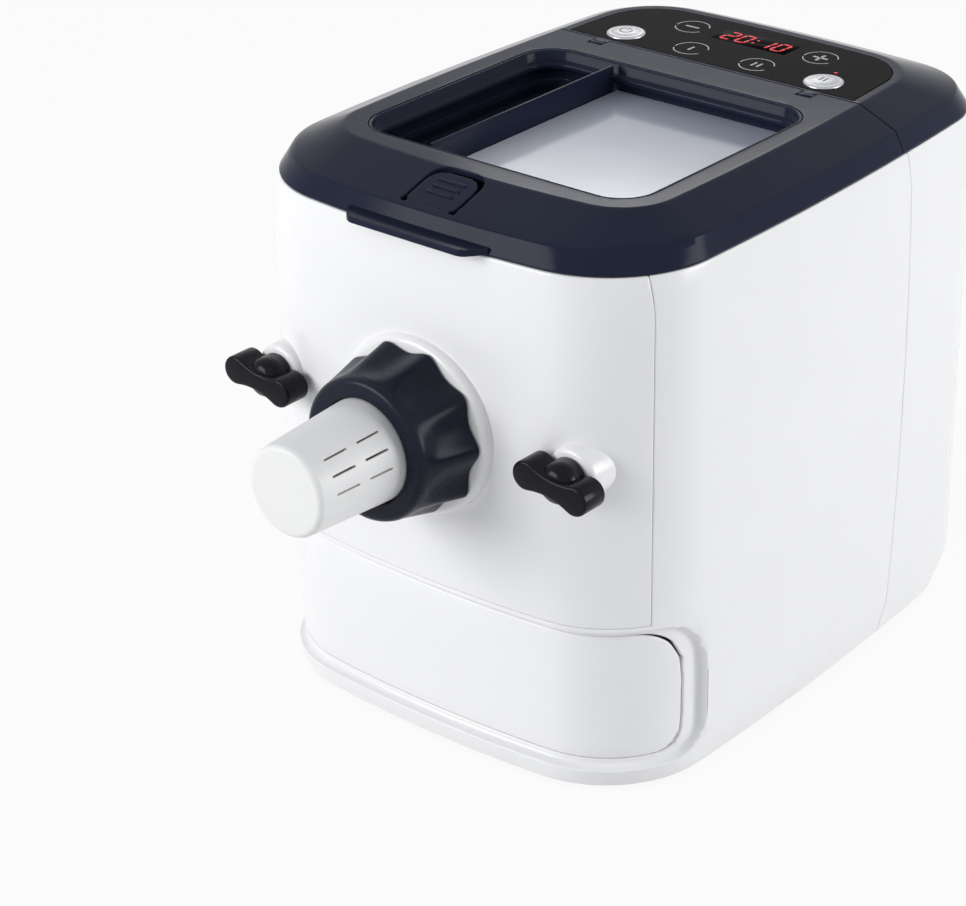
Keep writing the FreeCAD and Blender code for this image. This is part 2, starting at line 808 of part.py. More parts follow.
bowl_top = deck_top + S.flange_thickness
bowl_shell = trough("bowl_shell", S.bowl_half_width, S.bowl_front, S.bowl_rear, bowl_top)
bowl_lip = round_block("bowl_lip", (-S.bowl_half_width - S.bowl_flange, S.bowl_half_width + S.bowl_flange),
                       (S.bowl_front - S.bowl_front_flange, S.bowl_rear + 1.8), (deck_top, bowl_top), 8.0)
bowl_hollow = trough("bowl_hollow", S.bowl_half_width - S.bowl_wall, S.bowl_front + S.bowl_wall,
                     S.bowl_rear - S.bowl_wall, bowl_top + 1)
node(cut("mixing_bowl", fuse("bowl_solid", bowl_shell, bowl_lip), bowl_hollow,
         rod("bowl_mouth", "y", S.barrel_bore, (0.0, S.bowl_front - 1, S.shaft_level), 10.0),
         rod("bowl_shaft_hole", "y", S.shaft_radius + 3, (0.0, S.bowl_rear - 10, S.shaft_level), 20.0)),
     "mixing_bowl")

# Extrusion barrel, die, collar and nut
barrel_back = S.bowl_front - 0.1
thread = []
for turn in range(4):
    start = S.thread_start - S.thread_pitch * turn
    thread += [(start, S.barrel_radius), (start - 1, S.thread_radius),
               (start - 2, S.thread_radius), (start - 3, S.barrel_radius)]
node(turned("extrusion_barrel", [
    (barrel_back, S.barrel_bore), (barrel_back, S.barrel_radius), *thread, (S.barrel_front, S.barrel_radius),
    (S.barrel_front, S.barrel_bore),
], S.shaft_level), "extrusion_barrel")
collar_back = S.body_front + 6
collar_front = S.body_front - S.collar_rise
collar_inner = S.barrel_radius + 0.3
collar_ring = turned("collar_ring", [
    (collar_back, collar_inner), (collar_back, S.collar_radius), (collar_front + 1.2, S.collar_radius),
    (collar_front, S.collar_radius - 2), (collar_front, collar_inner),
], S.shaft_level)
node(cut("collar_fitted", collar_ring, body_outer), "front_collar")

die_back = S.barrel_front - 0.1
die_shoulder = die_back - S.die_flange
die_round = 3.0
die_body = turned("die_body", [
    (die_back, S.barrel_bore + 1), (die_back, S.barrel_radius - 0.5), (die_shoulder, S.barrel_radius - 0.5),
    (die_shoulder, S.die_root_radius), (S.die_tip + die_round, S.die_tip_radius),
    (S.die_tip + die_round * 0.29, S.die_tip_radius - die_round * 0.29),
    (S.die_tip, S.die_tip_radius - die_round), (S.die_tip, 0.0), (S.die_tip + S.die_wall, 0.0),
    (S.die_tip + S.die_wall, S.die_tip_radius - S.die_wall - 2),
    (S.die_tip + S.die_wall + 2, S.die_tip_radius - S.die_wall),
], S.shaft_level)


def around_nozzle(piece, degrees):
    """Turn a piece about the nozzle's axis."""
    axis_point = Vector(0, 0, V["shaft_level"])
    spin = Placement(Vector(), Rotation(Vector(0, 1, 0), degrees), axis_point)
    piece.Placement = spin.multiply(piece.Placement)
    return piece


def die_slots():
    """Three rows of two slots along each side of the die."""
    slots = []
    for side in (0.0, 180.0):
        for row in range(3):
            for column in range(2):
                name = f"die_slot_{int(side)}_{row}_{column}"
                start = V["die_tip"] + V["die_slot_start"] + V["die_slot_pitch"] * column
                angle = 5.0 + V["die_slot_degrees"] * row
                turn = -angle if side == 0.0 else angle + 180.0
                half = V["die_slot_width"] / 2
                slot = doc.addObject("Part::Box", name)
                slot.Length = 12.0
                slot.Width = V["die_slot_length"]
                slot.Height = V["die_slot_width"]
                slot.Placement = Placement(Vector(16.0, start, V["shaft_level"] - half), Rotation())
                slots.append(around_nozzle(slot, turn))
    return slots


def die_holes():
    """Rows of round holes under the die, where the dough comes out."""
    holes = []
    for column in range(-2, 3):
        for row in range(int(V["die_hole_rows"])):
            name = f"die_hole_{column + 2}_{row}"
            hole = doc.addObject("Part::Cylinder", name)
            hole.Radius = V["die_hole_radius"]
            hole.Height = 14.0
            along = V["die_tip"] + V["die_hole_start"] + V["die_hole_pitch"] * row
            level = V["shaft_level"] - V["die_root_radius"] - 3
            hole.Placement = Placement(Vector(0, along, level), Rotation())
            holes.append(around_nozzle(hole, V["die_hole_degrees"] * column))
    return holes


node(cut("shaping_die", die_body, *die_slots(), *die_holes()), "shaping_die")


def wave_wire(y, radius, height):
    """A closed wave about the nozzle's axis: as many crests as the nut has lobes."""
    lobes = int(V["nut_lobes"])
    steps = lobes * 6
    points = []
    for i in range(steps):
        angle = 2 * math.pi * i / steps
        reach = radius + height * math.cos(lobes * angle)
        points.append(Vector(reach * math.cos(angle), y, V["shaft_level"] + reach * math.sin(angle)))
    curve = Part.BSplineCurve()
    curve.interpolate(Points=points, PeriodicFlag=True)
    return Part.Wire([curve.toShape()])


nut_stations = [
    (V["nut_back"], V["nut_back_radius"] - 0.8, V["nut_lobe_height"]),
    (V["nut_back"] - 2.0, V["nut_back_radius"], V["nut_lobe_height"]),
    (V["nut_back"] - 16.0, V["nut_back_radius"] - 1.6, V["nut_lobe_height"] * 0.8),
    (V["nut_front"] + 4.0, V["nut_front_radius"], 0.0),
]
nut_sections = []
for index, station in enumerate(nut_stations):
    section = doc.addObject("Part::Feature", f"nut_station_{index}")
    section.Shape = wave_wire(*station)
    nut_sections.append(section)
nut_loft = doc.addObject("Part::Loft", "nut_loft")
nut_loft.Sections = nut_sections
nut_loft.Solid = True
nut_loft.Ruled = True
nut_shoulder = die_shoulder - 0.3
die_gap_radius = S.die_root_radius + 0.5
nut_nose = turned("nut_nose", [
    (S.nut_front + 4.2, die_gap_radius), (S.nut_front + 4.2, S.nut_front_radius - 0.2),
    (S.nut_front + 2.4, S.nut_front_radius - 0.4), (S.nut_front + 0.8, S.nut_front_radius - 2),
    (S.nut_front, S.nut_front_radius - 4), (S.nut_front, die_gap_radius),
], S.shaft_level)
nut_bore_tool = turned("nut_bore_tool", [
    (S.nut_back + 1, 0.0), (S.nut_back + 1, S.nut_bore), (nut_shoulder, S.nut_bore),
    (nut_shoulder, die_gap_radius), (S.nut_front - 1, die_gap_radius), (S.nut_front - 1, 0.0),
], S.shaft_level)
node(cut("locking_nut", fuse("nut_solid", nut_loft, nut_nose), nut_bore_tool), "locking_nut")


# Wing knobs
def wing_outline(y):
    """The knob's bow-tie face: two round ends joined by hollowed flanks that touch them."""
    end = V["knob_end_radius"]
    reach = V["knob_length"] / 2 - end
    waist = V["knob_waist"]
    flank = (reach ** 2 + waist ** 2 - end ** 2) / (2 * (end - waist))
    flank_height = flank + waist
    span = math.hypot(reach, flank_height)
    touch_x = reach - reach / span * end
    touch_z = flank_height / span * end
    corners = {(a, b): Vector(a * touch_x, y, b * touch_z) for a in (-1, 1) for b in (-1, 1)}
    return Part.Wire([
        Part.Arc(corners[1, -1], Vector(reach + end, y, 0), corners[1, 1]).toShape(),
        Part.Arc(corners[1, 1], Vector(0, y, waist), corners[-1, 1]).toShape(),
        Part.Arc(corners[-1, 1], Vector(-reach - end, y, 0), corners[-1, -1]).toShape(),
        Part.Arc(corners[-1, -1], Vector(0, y, -waist), corners[1, -1]).toShape(),
    ])


def wing_knob(name, sign):
    """Bar, domed hub and stud in one moulding, turned a little off level."""
    depth = V["knob_back"] - V["knob_front"]
    bar = Part.Face(wing_outline(V["knob_front"])).extrude(Vector(0, depth, 0))
    bar = bar.makeFillet(1.2, [e for e in bar.Edges if e.BoundBox.YLength < 0.01])
    hub_start = V["knob_front"] + 2.0
    hub_length = V["knob_boss_front"] - V["running_gap"] * 2 - hub_start
    hub = Part.makeCylinder(V["knob_hub_radius"], hub_length, Vector(0, hub_start, 0), Vector(0, 1, 0))
    hub = hub.makeFillet(1.5, [e for e in hub.Edges if abs(e.BoundBox.YMax - hub_start) < 0.01])
    stud = Part.makeCylinder(V["knob_stud_radius"], 34.0, Vector(0, V["knob_back"] - 1.0, 0), Vector(0, 1, 0))
    knob = bar.fuse([hub, stud]).removeSplitter()
    knob.rotate(Vector(), Vector(0, 1, 0), V["knob_tilt"])
    thing = doc.addObject("Part::Feature", name)
    thing.Shape = knob
    return node(place(thing, sign * S.knob_across, 0.0, S.shaft_level), name)


wing_knob("wing_knob_left", -1.0)
wing_knob("wing_knob_right", 1.0)
for side, sign in (("left", -1.0), ("right", 1.0)):
    name = f"knob_boss_{side}"
    boss = rod(name + "_blank", "y", S.knob_boss_radius,
               (sign * S.knob_across, S.knob_boss_front, S.shaft_level), 24.0)
    shaft_hole = rod(name + "_hole", "y", S.knob_stud_radius + S.running_gap,
                     (sign * S.knob_across, -140.0, S.shaft_level), 80.0)
    node(cut(name, boss, body_outer, shaft_hole), name)


# Lid and rear cover
lid_outer = bowed_solid("lid_outer", lid_levels())
lid_hollow = bowed_solid("lid_hollow", lid_levels(V["lid_wall"], 1.0), V["lid_wall"])
cover_depth_under_top = V["glass_thickness"] + V["cover_plate"]
cover_hollow = bowed_solid("cover_hollow", lid_levels(cover_depth_under_top, 1.0), V["lid_wall"])
lid_rear = S.lid_split - S.parting_gap
hinge_y = lid_rear - S.hinge_radius
hinge_z = S.plateau - S.hinge_radius
lid_zone = box("lid_zone", EVERYWHERE, (-FAR, lid_rear), EVERYWHERE)
opening_x = (S.opening_left, S.opening_right)
opening_y = (S.opening_front, S.opening_rear)
frame_wall = S.bezel_wall + 2.5
frame_tube = round_block("frame_tube", (S.opening_left - frame_wall, S.opening_right + frame_wall),
                         (S.opening_front - frame_wall, S.opening_rear + frame_wall),
                         (S.lid_bottom, S.plateau - 1), S.opening_corner + 4)
opening_cut = round_block("opening_cut", (S.opening_left - S.bezel_wall, S.opening_right + S.bezel_wall),
                          (S.opening_front - S.bezel_wall, S.opening_rear + S.bezel_wall),
                          (S.lid_bottom - 5, S.plateau + 5), S.opening_corner + S.bezel_wall)
lid_end = common("lid_end", lid_outer, box("lid_end_zone", EVERYWHERE, (lid_rear - 3, lid_rear), EVERYWHERE))


def hinge_places():
    """Name and place across of the two hinges."""
    return [("left", -1.0 * S.hinge_across), ("right", 1.0 * S.hinge_across)]


ear_half = S.hinge_ear_width / 2
boss_reach = ear_half + S.hinge_boss_width
hinge_bosses = [
    box(f"hinge_boss_{side}", (x - boss_reach, x + boss_reach), (hinge_y - 4.5, lid_rear),
        (hinge_z - 5, S.plateau - 0.5))
    for side, x in hinge_places()
]
hinge_notches = [
    box(f"hinge_notch_{side}", (x - ear_half - 0.4, x + ear_half + 0.4), (hinge_y - 4.4, lid_rear + 5),
        (hinge_z - 12, S.plateau + 5))
    for side, x in hinge_places()
]
heel_block = box("heel_block", EVERYWHERE, (hinge_y, lid_rear + 5), (S.lid_bottom - 5, hinge_z))
heel_reach = hinge_z - S.body_top - S.seat_gap
lid_heel = cut("lid_heel", heel_block, rod("heel_barrel", "x", heel_reach, (-FAR, hinge_y, hinge_z), 2 * FAR))
edge_block = box("edge_block", EVERYWHERE, (hinge_y, lid_rear + 5), (hinge_z, S.plateau + 5))
edge_round = cut("edge_round", edge_block,
                 rod("edge_barrel", "x", S.hinge_radius, (-FAR, hinge_y, hinge_z), 2 * FAR))


def pin_holes(name, radius):
    """Holes along the hinge axis at both hinges."""
    return [
        rod(f"{name}_{side}", "x", radius, (x - boss_reach + 1, hinge_y, hinge_z), 2 * (boss_reach - 1))
        for side, x in hinge_places()
    ]


# Front lip: a thin shelf at the foot of the band for the fingers
band_front = S.body_front + S.top_inset - 0.5
lip_low = S.lid_bottom + 0.2
lip = rounded("lip", box("lip_block", (-1.0 * S.handle_half_width, S.handle_half_width),
                         (band_front - S.handle_reach, band_front + 2.5), (lip_low, lip_low + S.handle_thickness)),
              S.handle_corner, lambda edge: upright(edge) and edge.BoundBox.YMax < V["body_front"])

# Latch seat in the front slope of the lid
latch_shape = round_block("latch_shape", (-1.0 * S.latch_half_width, S.latch_half_width),
                          (S.latch_front - 3, S.latch_rear), (S.lid_bottom - 5, S.plateau + 5), S.latch_corner)
latch_seat = round_block("latch_seat", (-1.0 * S.latch_half_width - S.latch_groove,
                                        S.latch_half_width + S.latch_groove),
                         (S.latch_front - 3 - S.latch_groove, S.latch_rear + 3.2 + S.latch_groove),
                         (S.lid_bottom - 5, S.plateau + 5), S.latch_corner + S.latch_groove)
lid_shell = fuse("lid_shell", cut("lid_skin", lid_outer, lid_hollow),
                 common("tube_in_lid", frame_tube, lid_outer), lid_end, *hinge_bosses)
lid_body = common("lid_body", lid_shell, lid_zone)
node(cut("lid_frame", fuse("lid_with_lip", lid_body, lip), opening_cut, latch_seat, edge_round, lid_heel,
         *hinge_notches, *pin_holes("lid_pin_hole", S.hinge_pin_radius)), "lid_frame")
for side, x in hinge_places():
    name = f"hinge_pin_{side}"
    pin_start = (x - boss_reach + 1.2, hinge_y, hinge_z)
    node(rod(name, "x", S.hinge_pin_radius, pin_start, 2 * (boss_reach - 1.2)), name)

# Bezel: lines the opening, with a rolled bead and a ledge for the window
bezel_outer = round_block("bezel_outer", (S.opening_left - S.bezel_wall, S.opening_right + S.bezel_wall),
                          (S.opening_front - S.bezel_wall, S.opening_rear + S.bezel_wall),
                          (S.bezel_bottom, S.plateau - 0.3), S.opening_corner + S.bezel_wall)
bezel_mouth = round_block("bezel_mouth", opening_x, opening_y, (S.bezel_bottom - 1, S.plateau + 1),
                          S.opening_corner)


def inner_ring(name, reach, low, high):
    """A ring that stands in from the opening's wall."""
    outside = round_block(name + "_outside", (S.opening_left - 0.5, S.opening_right + 0.5),
                          (S.opening_front - 0.5, S.opening_rear + 0.5), (low, high), S.opening_corner + 0.5)
    inside = round_block(name + "_inside", (S.opening_left + reach, S.opening_right - reach),
                         (S.opening_front + reach, S.opening_rear - reach), (low - 1, high + 1),
                         S.opening_corner - reach)
    return cut(name, outside, inside)


def level_rim(low, high, reach):
    """A test for the inner edges of a ring, at either face."""
    limit_x = as_size(S.opening_right - reach).value + 0.01
    levels = (as_size(low).value, as_size(high).value)

    def wanted(edge):
        extent = edge.BoundBox
        flat = extent.ZLength < 0.01
        inside = extent.XMax <= limit_x and extent.XMin >= as_size(S.opening_left + reach).value - 0.01
        inside = inside and extent.YMax <= as_size(S.opening_rear - reach).value + 0.01
        return flat and inside and min(abs(extent.ZMin - z) for z in levels) < 0.01

    return wanted


bead_low = S.bead_height - S.bead_radius
bead_high = S.bead_height + S.bead_radius
bead = rounded("bead", inner_ring("bead_ring", S.bead_radius, bead_low, bead_high), S.bead_radius - 0.1,
               level_rim(bead_low, bead_high, S.bead_radius))
ledge = inner_ring("ledge", S.ledge_width, S.bezel_bottom, S.window_level)
node(fuse("window_bezel", cut("bezel_tube", bezel_outer, bezel_mouth), bead, ledge), "window_bezel")

divider_x = (S.divider_place - S.divider_thickness / 2, S.divider_place + S.divider_thickness / 2)
window_side_gap = 0.3
window_block = box("window_block", (divider_x[1] + window_side_gap, S.opening_right - window_side_gap),
                   (S.opening_front + window_side_gap, S.opening_rear - window_side_gap),
                   (S.window_level, S.window_level + S.window_thickness))
node(rounded("window_plate", window_block, S.opening_corner - window_side_gap,
             lambda edge: upright(edge) and edge.BoundBox.XMax > 0), "lid_window")
divider_block = box("divider_block", divider_x, (S.opening_front + 0.1, S.opening_rear - 0.1),
                    (S.bezel_bottom, S.plateau - 0.3))
divider_notches = [
    box(f"{kind}_notch_{end}", (divider_x[0] - 1, divider_x[1] + 1), (wall - depth, wall + depth), heights)
    for kind, depth, heights in (("bead", S.bead_radius + 0.15, (bead_low - 0.15, bead_high + 0.15)),
                                 ("ledge", S.ledge_width + 0.15, (S.bezel_bottom - 1, S.window_level + 0.15)))
    for end, wall in (("front", S.opening_front), ("rear", S.opening_rear))
]
node(cut("divider_fitted", divider_block, *divider_notches), "inlet_divider")

# Water tray: the narrow left compartment, with slots into the bowl
tray_low = S.bezel_bottom - 3
water_outer = box("water_outer", (S.opening_left + S.ledge_width + 0.3, divider_x[0] - 0.2),
                  (S.opening_front + S.ledge_width + 0.3, S.opening_rear - S.ledge_width - 0.3),
                  (tray_low, S.window_level + 0.6))
tray_reach = S.ledge_width + 0.3 + S.tray_wall
water_inner = box("water_inner", (S.opening_left + tray_reach, divider_x[0] - 0.2 - S.tray_wall),
                  (S.opening_front + tray_reach, S.opening_rear - tray_reach),
                  (tray_low + S.tray_wall, S.plateau))
water_slot_right = divider_x[0] - S.water_slot_margin
water_slot_start = S.opening_front + S.water_slot_start
water_slots = [
    box(f"water_slot_{i}", (water_slot_right - S.water_slot_length, water_slot_right),
        (y, y + S.water_slot_width), (tray_low - 1, tray_low + 3))
    for i, y in enumerate(water_slot_start + S.water_slot_pitch * step for step in range(7))
]
tray_corner = S.opening_corner - S.ledge_width


def left_corner(edge):
    """True for an upright edge on the tray's outer side."""
    return upright(edge) and edge.BoundBox.XMax < V["divider_place"] - 10


node(cut("water_tray", rounded("water_shell", water_outer, tray_corner, left_corner),
         rounded("water_room", water_inner, tray_corner - S.tray_wall, left_corner), *water_slots), "water_tray")

# Liner under the lid and its gasket on the bowl
liner_core = bowed_solid("liner_core", lid_levels(V["lid_wall"], 1.0), V["lid_wall"] + 0.3)
liner_zone = box("liner_zone", EVERYWHERE, (-FAR, lid_rear - 3.3), (S.lid_bottom, S.lid_bottom + 1.4))
liner_sheet = common("liner_sheet", liner_core, liner_zone)
node(cut("lid_liner", liner_sheet,
         box("liner_latch_gap", (-1 * S.latch_half_width - 3, S.latch_half_width + 3),
             (-FAR, S.latch_rear + 5), (S.lid_bottom - 3, S.bezel_bottom + 3)),
         round_block("liner_tube_gap", (S.opening_left - frame_wall - 0.2, S.opening_right + frame_wall + 0.2),
                     (S.opening_front - frame_wall - 0.2, S.opening_rear + frame_wall + 0.2),
                     (S.lid_bottom - 3, S.bezel_bottom + 3), S.opening_corner + 4.2)), "lid_liner")

# Latch: a ribbed slider in the lid's front slope, with a hook that reaches under the deck
latch_skin = common("latch_skin", cut("latch_slab", lid_outer, lid_hollow), latch_shape)
rib_slots = [
    box(f"latch_rib_slot_{i}", (-1 * S.rib_half_width, S.rib_half_width), (y, y + S.rib_gap),
        (S.band_top - 5, S.plateau + 2))
    for i, y in enumerate(S.latch_front + S.rib_start + S.rib_pitch * step for step in range(3))
]
rib_floor = bowed_solid("rib_floor", lid_levels(0.9, 1.0), 0.9)
rib_tools = cut("latch_rib_tools", fuse("latch_rib_blocks", *rib_slots), rib_floor)
hook_x = (-1 * S.hook_half_width, S.hook_half_width)
hook_rear = S.hook_front + S.hook_thickness
hook_low = S.deck_level - 4.4
hook_high = S.band_top - 3
hook_plate = box("hook_plate", hook_x, (S.hook_front, hook_rear), (hook_low, hook_high))
hook_arm = box("hook_arm", hook_x, (S.hook_front, hook_rear + 6), (hook_high - 3, hook_high))
hook_mount = box("hook_mount", hook_x, (hook_rear, hook_rear + 6), (hook_high - 1, S.plateau))
hook_post = common("hook_post", hook_mount, lid_hollow)
hook_barb = box("hook_barb", hook_x, (S.hook_front - S.hook_reach, hook_rear), (hook_low, S.deck_level - 0.4))
node(cut("latch_cut", fuse("latch_solid", latch_skin, hook_plate, hook_arm, hook_post, hook_barb), rib_tools),
     "latch_button")

# Rear cover with the seat for the glass
cover_zone = box("cover_zone", EVERYWHERE, (S.lid_split, FAR), EVERYWHERE)
cover_block = common("cover_block", lid_outer, cover_zone)
cover_room = common("cover_room", cover_hollow, box("cover_room_zone", EVERYWHERE, (S.lid_split + 2.5, FAR),
                                                    EVERYWHERE))


def glass_levels(low, high, inset):
    """The glass's outline: the plateau's rear end less a margin."""
    outline_size = (V["plateau_half_width"] - V["glass_margin"], V["plateau_front"], V["glass_rear"],
                    V["plateau_front_corner"], V["plateau_rear_corner"] - V["glass_margin"])
    return [(low, *outline_size), (high, *outline_size)]


glass_bottom = V["plateau"] - V["glass_thickness"]
glass_plan = bowed_solid("glass_plan", glass_levels(glass_bottom, V["plateau"], 0.0), V["seat_gap"])
glass_pocket_plan = bowed_solid("glass_pocket_plan", glass_levels(glass_bottom - 0.1, V["plateau"] + 1, 0.0))
glass_pocket = common("glass_pocket", glass_pocket_plan,
                      box("glass_pocket_zone", EVERYWHERE, (S.glass_front - S.seat_gap, FAR), EVERYWHERE))
ears = []
for side, x in hinge_places():
    ear_x = (x - ear_half, x + ear_half)
    knuckle = rod(f"ear_knuckle_{side}", "x", S.hinge_radius - 0.3, (ear_x[0], hinge_y, hinge_z),
                  S.hinge_ear_width)
    neck = box(f"ear_neck_{side}", ear_x, (hinge_y, S.lid_split + 1), (hinge_z - 2.6, hinge_z + 2.8))
    ears += [knuckle, neck]
button_places = [("power_button", -1.0 * S.button_across), ("start_button", 1.0 * S.button_across)]
button_holes = [
    rod(name + "_hole", "z", S.button_radius + S.button_gap, (x, S.button_row, S.board_level),
        S.plateau - S.board_level + 5)
    for name, x in button_places
]
display_hole = box("display_hole", (-1.0 * S.display_half_width - 0.5, S.display_half_width + 0.5),
                   (S.display_row - S.display_half_depth - 0.5, S.display_row + S.display_half_depth + 0.5),
                   (S.board_level, S.plateau - S.glass_thickness + 0.05))
light_hole = rod("light_hole", "z", S.light_radius + 0.3, (S.light_across, S.light_row, S.board_level),
                 S.plateau - S.glass_thickness - 0.1 - S.board_level)
plate_bottom = S.plateau - S.glass_thickness - S.cover_plate
posts = [
    rod(f"board_post_{side}_{end}", "z", S.board_post_radius,
        (sign * S.board_post_across, y, S.board_level + S.board_thickness),
        plate_bottom - S.board_level - S.board_thickness + 0.5)
    for side, sign in (("left", -1.0), ("right", 1.0))
    for end, y in (("front", S.glass_front + 7), ("rear", S.display_row - 4.5))
]
node(cut("cover_fitted", fuse("cover_solid", cut("cover_shell", cover_block, cover_room), *ears, *posts),
         glass_pocket, display_hole, light_hole, *button_holes,
         *pin_holes("ear_pin_hole", S.hinge_pin_radius + S.hinge_running_gap)), "rear_cover")
node(cut("glass_fitted", common("glass_block", glass_plan, box("glass_zone", EVERYWHERE, (S.glass_front, FAR),
                                                                EVERYWHERE)), *button_holes), "control_glass")
button_flange = S.button_radius + 1.4
button_low = plate_bottom - 2.2
for name, x in button_places:
    dome = S.plateau + S.button_rise
    node(turned_upright(name, [
        (0.0, button_low), (button_flange, button_low), (button_flange, plate_bottom - 0.3),
        (S.button_radius, plate_bottom - 0.3), (S.button_radius, S.plateau + 0.4),
        (S.button_radius - 0.7, dome - 0.5), (S.button_radius - 2.6, dome - 0.15), (S.button_radius * 0.4, dome),
        (0.0, dome),
    ], x, S.button_row), name)

# Control board with its switches, display and light
board_top = S.board_level + S.board_thickness
board = box("board_sheet", (-1.0 * S.board_half_width, S.board_half_width),
            (S.glass_front + 3, S.display_row + S.display_half_depth + 2), (S.board_level, board_top))
switches = [
    box(name + "_switch", (x - 3, x + 3), (S.button_row - 3, S.button_row + 3),
        (board_top, button_low - S.button_travel - 0.1))
    for name, x in button_places
]
node(fuse("board_fitted", board, *switches), "control_board")
glass_underside = S.plateau - S.glass_thickness - 0.2
node(box("display_block", (-1.0 * S.display_half_width, S.display_half_width),
         (S.display_row - S.display_half_depth, S.display_row + S.display_half_depth),
         (board_top, glass_underside)), "display_module")
node(rod("light_block", "z", S.light_radius, (S.light_across, S.light_row, board_top),
         glass_underside - board_top), "status_light")

# Gasket under the lid, closing on the deck round the bowl
gasket_x = (-1.0 * S.gasket_across, S.gasket_across)
gasket_y = (S.gasket_front, S.gasket_rear)
gasket_inner_x = (gasket_x[0] + S.gasket_width, gasket_x[1] - S.gasket_width)
gasket_inner_y = (gasket_y[0] + S.gasket_width, gasket_y[1] - S.gasket_width)
gasket_outer = round_block("gasket_outer", gasket_x, gasket_y, (deck_top + 0.3, S.lid_bottom), 16.0)
gasket_inner = round_block("gasket_inner", gasket_inner_x, gasket_inner_y,
                           (deck_top - 1, S.lid_bottom + 1), 13.0)
notch_half_width = S.bowl_half_width + S.bowl_flange + 1
gasket_notch = box("gasket_notch", (-1 * notch_half_width, notch_half_width),
                   (S.gasket_front - 1, S.bowl_rear + 3), (deck_top - 1, bowl_top + 0.3))
node(cut("gasket_ring", gasket_outer, gasket_inner, gasket_notch), "lid_gasket")

# Chassis: an upright plate that carries the bowl, the drive and the deck
chassis_rear = S.chassis_front + S.chassis_thickness
chassis_half_width = S.body_half_width - S.chassis_inset
chassis_x = (-1 * chassis_half_width, chassis_half_width)
bearing_outer = S.shaft_radius + S.bearing_wall
chassis_sheet = box("chassis_sheet", chassis_x, (S.chassis_front, chassis_rear), (base_top, S.deck_level))
chassis_windows = [
    box(f"chassis_window_{side}", (sign * S.chassis_window_across - S.chassis_window_size / 2,
                                   sign * S.chassis_window_across + S.chassis_window_size / 2),
        (S.chassis_front - 1, chassis_rear + 1),
        (S.chassis_window_bottom, S.chassis_window_bottom + S.chassis_window_size))
    for side, sign in (("left", -1.0), ("right", 1.0))
]
node(cut("chassis_cut", chassis_sheet,
         rod("chassis_bearing_hole", "y", bearing_outer, (0.0, S.chassis_front - 1, S.shaft_level), 20.0),
         *chassis_windows), "chassis_plate")
node(turned("drive_bearing", [
    (S.chassis_front, S.shaft_radius + S.running_gap), (S.chassis_front, bearing_outer),
    (chassis_rear, bearing_outer), (chassis_rear, bearing_outer + 2), (chassis_rear + 2, bearing_outer + 2),
    (chassis_rear + 2, S.shaft_radius + S.running_gap),
], S.shaft_level), "drive_bearing")
seal_front = S.bowl_rear - S.bowl_wall
node(turned("shaft_seal", [
    (seal_front, S.shaft_radius + S.running_gap), (seal_front, S.shaft_radius + 3),
    (S.bowl_rear, S.shaft_radius + 3), (S.bowl_rear, S.shaft_radius + 6),
    (S.bowl_rear + 2.2, S.shaft_radius + 6), (S.bowl_rear + 2.2, S.shaft_radius + S.running_gap),
], S.shaft_level), "shaft_seal")

# Stirrer: tube, paddles and auger in one moulding
stirrer_rear = seal_front - 0.6
stirrer_front = S.barrel_front + 1.5
stirrer_tube = rod("stirrer_tube", "y", S.stirrer_tube_radius, (0.0, S.bowl_front + S.bowl_wall, S.shaft_level),
                   stirrer_rear - S.bowl_front - S.bowl_wall)
auger_core = rod("auger_core", "y", S.hex_radius + 1, (0.0, stirrer_front, S.shaft_level),
                 S.bowl_front + S.bowl_wall - stirrer_front + 1)


def paddle(name, y, degrees):
    """A flat arm from the tube with a cross blade at its end, pitched like a screw."""
    reach = V["stirrer_radius"]
    arm = Part.makeBox(7.0, 4.0, reach - 6, Vector(-3.5, -2.0, 4.0))
    blade = Part.makeBox(6.0, 26.0, 9.0, Vector(-3.0, -13.0, reach - 13))
    blade = blade.makeFillet(1.4, blade.Edges)
    solid = arm.fuse(blade)
    solid.rotate(Vector(), Vector(0, 0, 1), 32.0)
    thing = doc.addObject("Part::Feature", name)
    thing.Shape = solid
    thing.Placement = Placement(Vector(0, y, V["shaft_level"]), Rotation(Vector(0, 1, 0), degrees))
    return thing


paddles = [paddle(f"paddle_{i}", -70.0 + 40.0 * i, 90.0 * i + 90.0) for i in range(4)]


def auger_blade():
    """The auger's screw blade: a section swept along a helix inside the barrel."""
    length = stirrer_length_in_barrel()
    helix = Part.makeHelix(V["auger_pitch"], length, V["hex_radius"])
    low = V["hex_radius"]
    high = V["auger_radius"]
    half = V["auger_blade"] / 2
    edge = half * 0.7
    corners = [Vector(low, 0, -half), Vector(high, 0, -edge), Vector(high, 0, edge), Vector(low, 0, half)]
    section = Part.makePolygon(corners + corners[:1])
    blade = Part.Wire(helix).makePipeShell([section], True, True)
    thing = doc.addObject("Part::Feature", "auger_blade")
    thing.Shape = blade
    spot = Vector(0, V["barrel_front"] + 3.5, V["shaft_level"])
    thing.Placement = Placement(spot, Rotation(Vector(1, 0, 0), -90))
    return thing


def stirrer_length_in_barrel():
    """How far the auger runs inside the barrel."""
    return V["bowl_front"] + V["bowl_wall"] - V["barrel_front"] - 6.0


hex_reach = 22.0


def hex_prism(name, radius, start, length):
    """A six-sided bar along the shaft."""
    angles = [math.radians(60.0 * i) for i in range(6)]
    corners = [(radius * math.cos(angle), radius * math.sin(angle)) for angle in angles]
    body = padded_outline(name, "XZ_Plane", corners, -1 * (start + length), length)
    return place(body, 0.0, 0.0, S.shaft_level)


